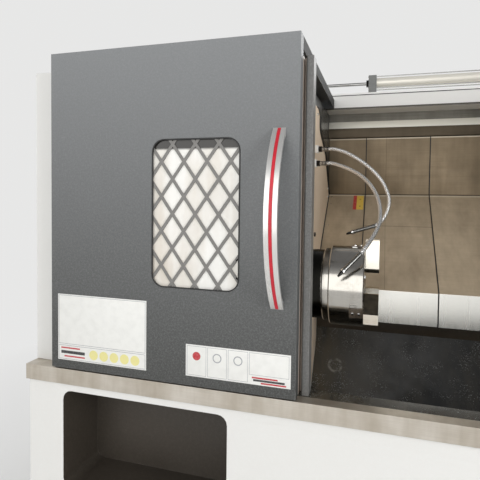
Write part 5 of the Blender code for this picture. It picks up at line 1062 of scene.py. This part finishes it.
# Dark sheet: the wall behind the plate, the chip slide and the tank. The slide is black, wet
# with oil and sprinkled with fine bright chips.
dark = powder_paint("dark_enamel", (0.03, 0.029, 0.027), (0.08, 0.08, 0.08), 300, 0.3, 0.3, 0.35, 0.03,
    (0.2, 0.2, 0.2), 0.4)
dress("left_wall", dark, 0.001)
dress("coolant_tank", dark, 0.003)

tray, tray_tree, tray_shader = start_material("wet_black_tray", 0.25, 0, (0.02, 0.02, 0.018),
    Specular_IOR_Level=0.25)
tray_place = object_place(tray_tree)
puddle = stretch(noise(tray_place, 5.5, 4, 0.6), 0.38, 0.66)
washed = stretch(noise(object_place(tray_tree, (16, 5, 5)), 1, 4, 0.65), 0.4, 0.68)
tray_side = split(tray_place)
leftwards = stretch(tray_side["X"], at(0.2, 0, 0).x, at(0, 0, 0).x)
brown_share = times(washed, stretch(leftwards, 0, 1, 0.25, 0.9))
far_right = stretch(tray_side["X"], at(0.12, 0, 0).x, at(0.3, 0, 0).x)
pool = blend_colours(puddle, (0.022, 0.022, 0.02), (0.07, 0.066, 0.056))
wet = blend_colours(brown_share, blend_colours(far_right, pool, (0.006, 0.007, 0.007)), (0.095, 0.08, 0.055))
chips = put(tray_tree, "ShaderNodeTexVoronoi", Vector=tray_place, Scale=210)
chip_mask = stretch(chips.outputs["Distance"], 0.3, 0.18)
scatter = stretch(noise(tray_place, 16, 4, 0.65), 0.45, 0.66)
chip_share = times(chip_mask, scatter)
speckled = blend_colours(chip_share, wet, (0.52, 0.54, 0.53))
ring_away = put(tray_tree, "ShaderNodeVectorMath", tray_place, at(0.0545, 0.581, -0.1), operation="DISTANCE")
ring_line = maths("ABSOLUTE", maths("SUBTRACT", ring_away.outputs["Value"], 0.024))
ring_share = times(stretch(ring_line, 0.007, 0.001), stretch(noise(tray_place, 60, 3), 0.4, 0.6))
give(tray_shader, Base_Color=blend_colours(ring_share, speckled, (0.26, 0.25, 0.22)),
    Roughness=stretch(puddle, 0, 1, 0.14, 0.46))
bump(tray_shader, plus(chip_share, times(puddle, 0.3)), 0.001)
dress("chip_slide", tray)
paint_faces(sill, tray, lambda middle, normal: middle.y > 0.0412 and -0.0297 < middle.x < 1.169)
# A thin dark brown strip on the slide's back sheet under the lip: painted shade in the gap under the lip.
slide_gap_painted_shade = powder_paint("slide_gap_painted_shade", (0.04, 0.03, 0.02), (0.085, 0.07, 0.05), 200, 0.4, 0.4, 0.4, 0.03,
    (0.16, 0.14, 0.11), 0.6)
boxes("slide_gap_shade_strip", [((-0.029, 0.755), (0.649, 0.6518), (0.0285, 0.1195))], slide_gap_painted_shade,
    0.0008)


# Turned steel: chuck, adapter, spindle and its pulleys. Fine tool marks run round the axis and
# the ground faces reflect the shop in long bands.
turned_marks, source, target = start_group("turned_marks",
    {"Vector": None, "Color": (0.5, 0.5, 0.5), "Dark Color": (0.3, 0.3, 0.3), "Marks": 900.0, "Amount": 0.4,
    "Roughness": 0.2}, ("Color", "Roughness", "Height"))
parts = split(source["Vector"])
radius_now = maths("SQRT", plus(times(parts["Y"], parts["Y"]), times(parts["Z"], parts["Z"])))
run_out = plus(radius_now, parts["X"])
grooves = noise(run_out, source["Marks"], 3, 0.6, "1D")
handled = noise(source["Vector"], 26, 4, 0.6)
mark_share = times(stretch(grooves, 0.35, 0.65), source["Amount"])
toned = blend_colours(mark_share, source["Color"], source["Dark Color"])
smeared = blend_colours(stretch(handled, 0.52, 0.75, 0, 0.35), toned, source["Dark Color"])
feed(target["Color"], smeared)
feed(target["Roughness"], plus(source["Roughness"], times(maths("SUBTRACT", handled, 0.5), 0.25)))
feed(target["Height"], grooves)


def turned_paint(name, colour, dark_colour, marks, amount, roughness, centre):
    """Turned steel with its tool marks round the X axis through the centre."""
    material, tree, principled = start_material(name, roughness, 1, colour)
    metal = use_group(tree, turned_marks, Vector=object_place(tree, offset=tuple(-c for c in centre)),
        Color=colour, Dark_Color=dark_colour, Marks=marks, Amount=amount, Roughness=roughness)
    give(principled, Base_Color=metal["Color"], Roughness=metal["Roughness"])
    bump(principled, metal["Height"], 0.00001)
    return material


SPINDLE_AXIS = at(0, 0.287, 0.274)
chuck_metal = turned_paint("chuck_steel", (0.6, 0.58, 0.54), (0.24, 0.22, 0.185), 1500, 0.55, 0.15, SPINDLE_AXIS)
for node in ("chuck_body", "chuck_adapter", "spindle_shaft", "spindle_pulley", "rotary_cylinder"):
    dress(node, chuck_metal, 0.0006 if node == "chuck_body" else 0)
jaw_metal = brushed_paint("jaw_steel", (0.86, 0.82, 0.73), (0.74, 0.7, 0.6), (60, 700, 700), 0.4, 0.16, 0.1, 0.006)
spindle_body = node_body["chuck_body"]


def round_spindle(angle_deg):
    return Matrix.Translation(SPINDLE_AXIS) @ Matrix.Rotation(math.radians(angle_deg), 4, "X")


def turned_piece(name, part, angle_deg, material, body):
    """A part drawn as (X, across, radius), turned to its angle round the spindle."""
    shape = bmesh.new()
    join(shape, part, round_spindle(angle_deg))
    return finish_piece(name, shape, material, body)


# Jaw faces: the outer faces get a pale cream copy, a painted highlight, and the second jaw's side faces a dark
# copy, painted shade.
jaw_cream = speckled_metal("jaw_cream", (0.93, 0.86, 0.74), (0.84, 0.76, 0.64), 0.42, 60, metallic=0.1)
jaw_oiled = speckled_metal("jaw_oiled", (0.075, 0.062, 0.042), (0.03, 0.025, 0.018), 0.34, 40, metallic=0.6)
way_cover_dull = speckled_metal("jaw_way_cover_dull", (0.16, 0.13, 0.1), (0.08, 0.064, 0.048), 0.4, 200,
    metallic=0.3)
COVER_SCREWS = (0.137, 0.156)
step_x = at(0.197, 0, 0).x
blank_x = at(0.212, 0, 0).x
for number in (1, 2, 3):
    jaw = "jaw_%d" % number
    turn = (number - 1) * 120
    shape = take_node(jaw)
    for corner in shape.verts:
        if abs(corner.co.x - step_x) < 0.0004:
            corner.co.x = blank_x
    bmesh.ops.remove_doubles(shape, verts=shape.verts, dist=MERGE_NEAR)
    bmesh.ops.dissolve_degenerate(shape, dist=MERGE_NEAR, edges=shape.edges)
    bmesh.ops.dissolve_limit(shape, angle_limit=FLAT_ANGLE, verts=shape.verts, edges=shape.edges)
    block = finish_piece(jaw + "_soft", shape, jaw_metal, node_body[jaw])
    soften(block, 0.001, 2)
    sine, cosine = math.sin(math.radians(turn)), math.cos(math.radians(turn))
    outwards = Vector((0, -sine, cosine))
    across = Vector((0, -cosine, -sine))
    # Painted highlight on the outer faces; painted shade on the second jaw's sides.
    paint_faces(block, jaw_cream, lambda middle, normal: normal.dot(outwards) > 0.9)
    if number == 2:
        paint_faces(block, jaw_oiled, lambda middle, normal: abs(normal.dot(across)) > 0.9)
    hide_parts(jaw)
    bolts = gather(add_screw, *(((0.2005, 0, reach), RIGHT, 0.0085) for reach in (0.09, 0.122)))
    turned_piece(jaw + "_bolts", bolts, turn, blacked, node_body[jaw])
    stop = gather(add_box, ((0.127, -0.0185, 0.1256), (0.1686, 0.0185, 0.1284), 0.0006))
    turned_piece("jaw_way_cover_%d" % number, stop, turn, way_cover_dull, spindle_body)
    heads = gather(add_screw, *(((along, 0, 0.1286), UP, 0.0052) for along in COVER_SCREWS))
    turned_piece("jaw_way_cover_screws_%d" % number, heads, turn, bright_plate, spindle_body)
    pin = gather(add_disc, *(((along, 0, 0.1319), 0.0028, 0.0008, UP) for along in COVER_SCREWS))
    add_box(pin, (0.129, -0.0226, 0.125), (0.145, -0.019, 0.1272), 0.0003)
    for low, high in (((0.129, 0.0192), (0.149, 0.0204)), ((0.129, 0.029), (0.149, 0.0302)),
            ((0.129, 0.0204), (0.1302, 0.029)), ((0.1478, 0.0204), (0.149, 0.029))):
        add_box(pin, (low[0], low[1], 0.1225), (high[0], high[1], 0.1262), 0.0002)
    add_screw(pin, (0.1692, 0, -0.08), RIGHT, 0.0065)
    turned_piece("chuck_face_screws_%d" % number, pin, turn, bright_plate, spindle_body)
black_oxide = turned_paint("black_oxide", (0.022, 0.021, 0.018), (0.008, 0.008, 0.007), 700, 0.6, 0.22,
    SPINDLE_AXIS)
dress("nose_cover", black_oxide)
nose_bolts = bmesh.new()
for step in range(8):
    join(nose_bolts, gather(add_screw, ((-0.0172, 0, 0.118), RIGHT, 0.0045)), round_spindle(22.5 + step * 45))
finish_piece("nose_cover_bolts", nose_bolts, bright_plate)


# Ground and plated steel: ball screw, turret, quill, motor pulley and the air cylinder's rod.
# The turret carries blacked holders with gold-coloured carbide tips, each with two clamp screws.
plain_steel = brushed_paint("ground_steel", (0.6, 0.6, 0.59), (0.42, 0.42, 0.41), (20, 500, 500), 0.4, 0.22, 0.15,
    0.01)
for node in ("motor_pulley", "z_ballscrew", "tailstock_quill"):
    dress(node, plain_steel)
rod_steel = turned_paint("rod_chrome", (0.42, 0.42, 0.41), (0.3, 0.3, 0.29), 900, 0.2, 0.12, at(0, 0.96, 1.076))
dress("cylinder_rod", rod_steel)
TURRET = at(0.69, 0.59873, 0.52464)
turret_steel = turned_paint("turret_steel", (0.46, 0.46, 0.45), (0.25, 0.25, 0.24), 500, 0.5, 0.26, TURRET)
turret = dress("turret_disc", turret_steel, 0.0008)
turret_centre = TURRET - DATUM
paint_faces(turret, blacked, lambda middle, normal:
    middle.x < 0.6898 and math.hypot(middle.y - turret_centre.y, middle.z - turret_centre.z) > 0.07)
STATIONS = 8
turret_screws, tips, numbers = bmesh.new(), bmesh.new(), bmesh.new()
for station in range(STATIONS):
    turn = Matrix.Translation(TURRET) @ Matrix.Rotation(math.radians(station * 360 / STATIONS), 4, "X")
    join(turret_screws, gather(add_screw, ((-0.0118, -0.018, 0.121), LEFT, 0.0052),
        ((-0.0118, 0.018, 0.121), LEFT, 0.0052), ((0.036, 0, 0.1548), UP, 0.006)), turn)
    join(tips, gather(add_box, ((-0.0345, 0.009, 0.1845), (-0.0235, 0.0128, 0.1955), 0.0006)), turn)
    join(numbers, gather(add_disc, ((-0.0004, 0, 0.072), 0.0085, 0.001, LEFT)), turn)
turret_body = node_body["turret_disc"]
finish_piece("turret_clamp_screws", turret_screws, bright_plate, turret_body)
carbide = speckled_metal("gold_carbide", (0.72, 0.5, 0.16), (0.55, 0.36, 0.1), 0.3)
finish_piece("tool_tips", tips, carbide, turret_body)
finish_piece("turret_station_discs", numbers, blacked, turret_body)


# Air cylinder: a drawn barrel between two square end blocks, tied by four rods, with a gland
# nut where the rod comes out and an air fitting on each block.
barrel_metal = brushed_paint("cream_aluminium", (0.84, 0.81, 0.73), (0.74, 0.71, 0.63), (20, 500, 500), 0.4, 0.3,
    0.15, 0.01, metallic=0.35)
block_metal = brushed_paint("block_aluminium", (0.17, 0.175, 0.17), (0.12, 0.12, 0.115), (60, 300, 300), 0.5, 0.42,
    0.15, 0.02, metallic=0.5)
cylinder = dress("door_cylinder", barrel_metal, 0.0008)
paint_faces(cylinder, block_metal, lambda middle, normal: middle.x < 0.1826 or middle.x > 1.0515)
gland = gather(add_spun, (sleeve_outline(0.0076, 0.0165, 0.0098), at(0.1376, 0.96, 1.076), RIGHT, 6))
finish_piece("cylinder_gland_nut", gland, blacked)
ties = bmesh.new()
for y in (0.9355, 0.9845):
    for z in (1.0515, 1.1005):
        add_spun(ties, sleeve_outline(0, 0.0022, 0.871), at(0.1815, y, z), RIGHT, 12)
        add_screw(ties, at(0.1478, y, z), LEFT, 0.0035)
finish_piece("cylinder_tie_rods", ties, plain_steel)
UNION = [(0, 0), (0.005, 0), (0.005, 0.004), (0.0042, 0.0045), (0.0042, 0.0095), (0, 0.0095)]
unions = gather(add_spun, *((UNION, at(x, 0.9915, 1.083), TO_REAR, 20) for x in (0.165, 1.071)))
finish_piece("air_unions", unions, bright_plate)

dress("drive_belt", rubber)


# Castings: bed, headstock, saddle, cross slide and tailstock, in a grey machine enamel over
# a cast skin that shows as a faint orange peel. Guide rails and the seats on them are ground.
casting = powder_paint("cast_grey", (0.2, 0.21, 0.215), (0.28, 0.29, 0.29), 120, 0.45, 0.3, 0.42, 0.15,
    (0.42, 0.42, 0.42), 0.45, 0.002)
for node in ("headstock_casting", "saddle", "cross_slide", "tailstock_guide", "tailstock_body"):
    dress(node, casting, 0.002)
bed = dress("slant_bed", casting, 0.002)


def off_cover(middle):
    """How far a place stands off the sloping cover's plane."""
    return (Vector((middle.y, middle.z)) - Vector(COVER_FOOT)).dot(SLOPE_OFF)


paint_faces(bed, plain_steel, lambda middle, normal: -0.0745 < off_cover(middle) < -0.02 and middle.x > -0.02)
motor_paint = powder_paint("motor_black", (0.03, 0.031, 0.033), (0.08, 0.08, 0.08), 300, 0.4, 0.3, 0.4, 0.05,
    (0.2, 0.2, 0.2), 0.4)
for node in ("spindle_motor", "z_motor"):
    dress(node, motor_paint, 0.001)
screws("headstock_bolts", [(x, y, 0.4598) for x in (-0.46, -0.28, -0.11) for y in (0.24, 0.76)], UP, 0.0085,
    blacked)


# Control box: a folded enamelled box screwed to the right-hand cover. It holds a recessed
# screen behind a black bezel, a keypad, a row of mode keys, and moulded switches.
PANEL, KEY_BACK, KEY_TOP = -0.0651, -0.0663, -0.0688
SCREEN, PRINT_TOP = -0.064, -0.0644
dress("control_housing", white, sharp_deg=12)
moulded = {}
for shade, colour, dark_colour, roughness in (("black", (0.028, 0.028, 0.029), (0.018, 0.018, 0.018), 0.44),
        ("grey", (0.42, 0.43, 0.44), (0.36, 0.37, 0.38), 0.46),
        ("amber", (0.72, 0.34, 0.05), (0.62, 0.28, 0.04), 0.44),
        ("red", (0.6, 0.02, 0.02), (0.5, 0.015, 0.015), 0.3),
        ("green", (0.05, 0.36, 0.09), (0.04, 0.3, 0.07), 0.32),
        ("yellow", (0.84, 0.62, 0.04), (0.76, 0.55, 0.03), 0.4)):
    moulded[shade] = speckled_metal("moulded_" + shade, colour, dark_colour, roughness, 500, metallic=0)
screen_glass, screen_tree, screen_shader = start_material("screen_glass", 0.1, 0, (0.01, 0.016, 0.026))
screen_film = noise(object_place(screen_tree, (3, 3, 9)), 1, 3)
give(screen_shader, Roughness=stretch(screen_film, 0.35, 0.7, 0.06, 0.22),
    Base_Color=blend_colours(screen_film, (0.01, 0.016, 0.026), (0.022, 0.034, 0.05)))
screen_blue = printed_ink("screen_blue", (0.045, 0.13, 0.26))
screen_pale = printed_ink("screen_pale", (0.42, 0.56, 0.62))
for node, material in (("emergency_stop", moulded["red"]), ("cycle_start_button", moulded["green"]),
        ("override_knob", moulded["black"]), ("handwheel", moulded["black"])):
    dress(node, material)
boxes("screen_pane", [((0.9765, 1.2435), (SCREEN, -0.0604), (0.6365, 0.8435))], screen_glass,
    0.0006)
fields = (((0.984, 1.236), (0.825, 0.837)), ((0.984, 1.1), (0.7, 0.819)), ((0.984, 1.236), (0.642, 0.658)))
boxes("screen_header", [(x, (PRINT_TOP, SCREEN), z) for x, z in fields], screen_blue)
rows = [((0.99, 0.99 + wide), (-0.0647, PRINT_TOP), (z, z + 0.0055))
    for wide, z in ((0.06, 0.804), (0.094, 0.792), (0.078, 0.78), (0.094, 0.768), (0.05, 0.756), (0.086, 0.744),
    (0.07, 0.732), (0.094, 0.72), (0.04, 0.708))]
graph = [((1.11, 1.11 + wide), (z, z + 0.0085))
    for wide, z in ((0.09, 0.804), (0.11, 0.786), (0.1, 0.768), (0.118, 0.75))]
graph += [((1.11, 1.228), (0.701, 0.7024)), ((1.11, 1.1114), (0.701, 0.738)), ((1.13, 1.15), (0.7024, 0.72)),
    ((1.16, 1.18), (0.7024, 0.73)), ((1.19, 1.21), (0.7024, 0.714))]
rows += [(x, (-0.0643, SCREEN), z) for x, z in graph]
boxes("screen_rows", rows, screen_pale)
bezel = (((0.961, 1.259), (0.8455, 0.857)), ((0.961, 1.259), (0.623, 0.6345)), ((0.961, 0.9745), (0.6345, 0.8455)),
    ((1.2455, 1.259), (0.6345, 0.8455)))
boxes("screen_bezel", [(x, (-0.069, PANEL), z) for x, z in bezel], moulded["black"], 0.001)
boxes("soft_keys", [((0.982 + i * 0.033, 1.0055 + i * 0.033), (-0.0682, PANEL), (0.594, 0.612)) for i in range(8)],
    moulded["grey"], 0.001)
boxes("keypad_backs", [((1.268, 1.388), (KEY_BACK, PANEL), (0.625, 0.855)),
    ((0.95, 1.28), (KEY_BACK, PANEL), (0.3, 0.356))], moulded["black"], 0.0005)
keys = [((1.2735 + i * 0.0225, 1.292 + i * 0.0225), (KEY_TOP, KEY_BACK), (0.631 + k * 0.028, 0.6535 + k * 0.028))
    for i in range(5) for k in range(8) if not (i == 4 and k < 3)]
keys += [((0.956 + i * 0.0322, 0.9845 + i * 0.0322), (KEY_TOP, KEY_BACK), (0.306, 0.332)) for i in range(10)]
boxes("keypad_keys", keys, moulded["grey"], 0.0009)
boxes("keypad_amber_keys", [((1.3635, 1.382), (KEY_TOP, KEY_BACK), (0.631 + k * 0.028, 0.6535 + k * 0.028))
    for k in range(3)], moulded["amber"], 0.0009)
lamps = gather(add_disc, *((at(0.9702 + i * 0.0322, -0.0668, 0.343), 0.0024, 0.0012) for i in range(10)))
finish_piece("mode_key_lamps", lamps, moulded["green"])


def dial_marks(name, place, near, far, count, span_deg, material):
    """Short printed lines round a knob, each pointing at its middle."""
    shape = bmesh.new()
    for i in range(count):
        part = gather(add_box, ((-0.0005, -0.0003, near), (0.0005, 0, far + (0.002 if i % 5 == 0 else 0))))
        angle = math.radians(-span_deg / 2 + span_deg * i / (count - 1 if span_deg < 360 else count))
        join(shape, part, Matrix.Translation(at(place[0], PANEL, place[1])) @ Matrix.Rotation(angle, 4, "Y"))
    return finish_piece(name, shape, material)


dial_marks("override_scale", (1.2, 0.48), 0.0225, 0.027, 16, 270, moulded["black"])
dial_marks("wheel_scale", (1.06, 0.43), 0.0405, 0.044, 50, 360, moulded["black"])
pointer = gather(add_box, (at(1.199, -0.0855, 0.4835), at(1.201, -0.0849, 0.492), 0.0001))
finish_piece("override_pointer", pointer, plate_white, node_body["override_knob"])
crank = [(0, 0), (0.0035, 0), (0.0035, 0.0015), (0.0056, 0.0022), (0.0063, 0.0075), (0.0052, 0.0135),
    (0.003, 0.0145), (0, 0.0147)]
stop_ring = [(0.0118, 0), (0.026, 0), (0.0254, 0.0016), (0.0118, 0.0016)]
start_ring = [(0.0122, 0), (0.0165, 0), (0.0158, 0.0022), (0.0122, 0.0022)]
for name, outline, place, material, body, steps in (("wheel_crank", crank, (1.06, -0.0828, 0.463),
        moulded["black"], node_body["handwheel"], 28),
        ("stop_collar", stop_ring, (1.335, PANEL, 0.38), moulded["yellow"], "root", 40),
        ("start_collar", start_ring, (1.335, PANEL, 0.48), bright_plate, "root", 40)):
    finish_piece(name, gather(add_spun, (outline, at(*place), TO_FRONT, steps)), material, body)
screws("control_box_screws", [(x, PANEL, z) for x in (0.941, 1.389) for z in (0.291, 0.89)], TO_FRONT, 0.0032,
    bright_plate)


# Cabinet on the back: a white sheet box with a rubber seal round its door, three hinges,
# a flush latch, and the main switch on its side.
SEAL_Y = (1.4284, 1.4296)
boxes("cabinet_door_seal", [((-0.3006, -0.2994), SEAL_Y, (-0.05, 0.9606)),
    ((0.9994, 1.0006), SEAL_Y, (-0.05, 0.9606)), ((-0.3006, 1.0006), SEAL_Y, (0.9594, 0.9606))], rubber)
KNUCKLE_LONG = 0.027
KNUCKLE = ((0, 0), (0.0035, 0), (0.004, 0.0006), (0.004, 0.0264), (0.0035, KNUCKLE_LONG), (0, KNUCKLE_LONG))
for name, body, rise, y, leaf in (("cabinet_hinge_fixed", "root", 0, 1.42, (1.418, 1.4285)),
        ("cabinet_hinge_moving", node_body["cabinet_door"], 0.0285, 1.439, (1.4315, 1.441))):
    knuckles = bmesh.new()
    for z in (0.07, 0.43, 0.79):
        add_spun(knuckles, KNUCKLE, at(-0.3048, y, z + rise), UP, 24)
        add_box(knuckles, at(-0.3012, leaf[0], z + rise), at(-0.3002, leaf[1], z + rise + KNUCKLE_LONG))
    finish_piece(name, knuckles, bright_plate, body)
boxes("latch_handle", [((0.952, 0.968), (1.447, 1.4497), (0.4, 0.515))], blacked, 0.001,
    node_body["cabinet_door"])
boxes("main_switch_plate", [((1.0001, 1.003), (1.21, 1.29), (0.6, 0.69))], moulded["yellow"],
    0.0008)
switch = gather(add_spun, ([(0, 0), (0.027, 0), (0.027, 0.006), (0.019, 0.008), (0.017, 0.02), (0, 0.0205)],
    at(1.003, 1.25, 0.645), RIGHT, 36))
add_box(switch, at(1.022, 1.2445, 0.62), at(1.033, 1.2555, 0.67), 0.002)
finish_piece("main_switch_knob", switch, moulded["red"])
screws("main_switch_screws", [(1.003, y, z) for y in (1.218, 1.282) for z in (0.608, 0.682)], RIGHT, 0.003,
    bright_plate)


# Coolant tank: a black sheet tank that slides out at the front, with a folded lid edge and a
# sight gauge. The plate and screws on the back of the base close the way to its piping.
TANK_FRONT = (0.0104, 0.0129)
BACK_PLATE = (1.4001, 1.4026)
boxes("tank_lid_edge", [((0.0505, 1.12), TANK_FRONT, (-0.47, -0.452))], motor_paint, 0.0006)
boxes("sight_gauge", [((0.66, 0.686), TANK_FRONT, (-0.69, -0.53))], bright_plate, 0.0008)
boxes("sight_gauge_tube", [((0.668, 0.678), (0.0085, 0.0105), (-0.678, -0.542))], moulded["yellow"],
    0.0009)
screws("tank_lid_screws", [(x, TANK_FRONT[0], -0.461) for x in (0.09, 0.35, 0.61, 0.87, 1.09)], TO_FRONT, 0.0045,
    bright_plate)
screws("base_rear_screws", [(x, 1.4003, z) for x in (-0.86, -0.28, 0.3, 0.88, 1.46) for z in (-0.7, -0.1)],
    TO_REAR, 0.006, bright_plate)
boxes("base_rear_plate", [((-0.12, 0.42), BACK_PLATE, (-0.56, -0.22))], white, 0.001)
screws("rear_plate_screws", [(x, BACK_PLATE[1], z) for x in (-0.1, 0.15, 0.4) for z in (-0.54, -0.24)], TO_REAR,
    0.005, bright_plate)
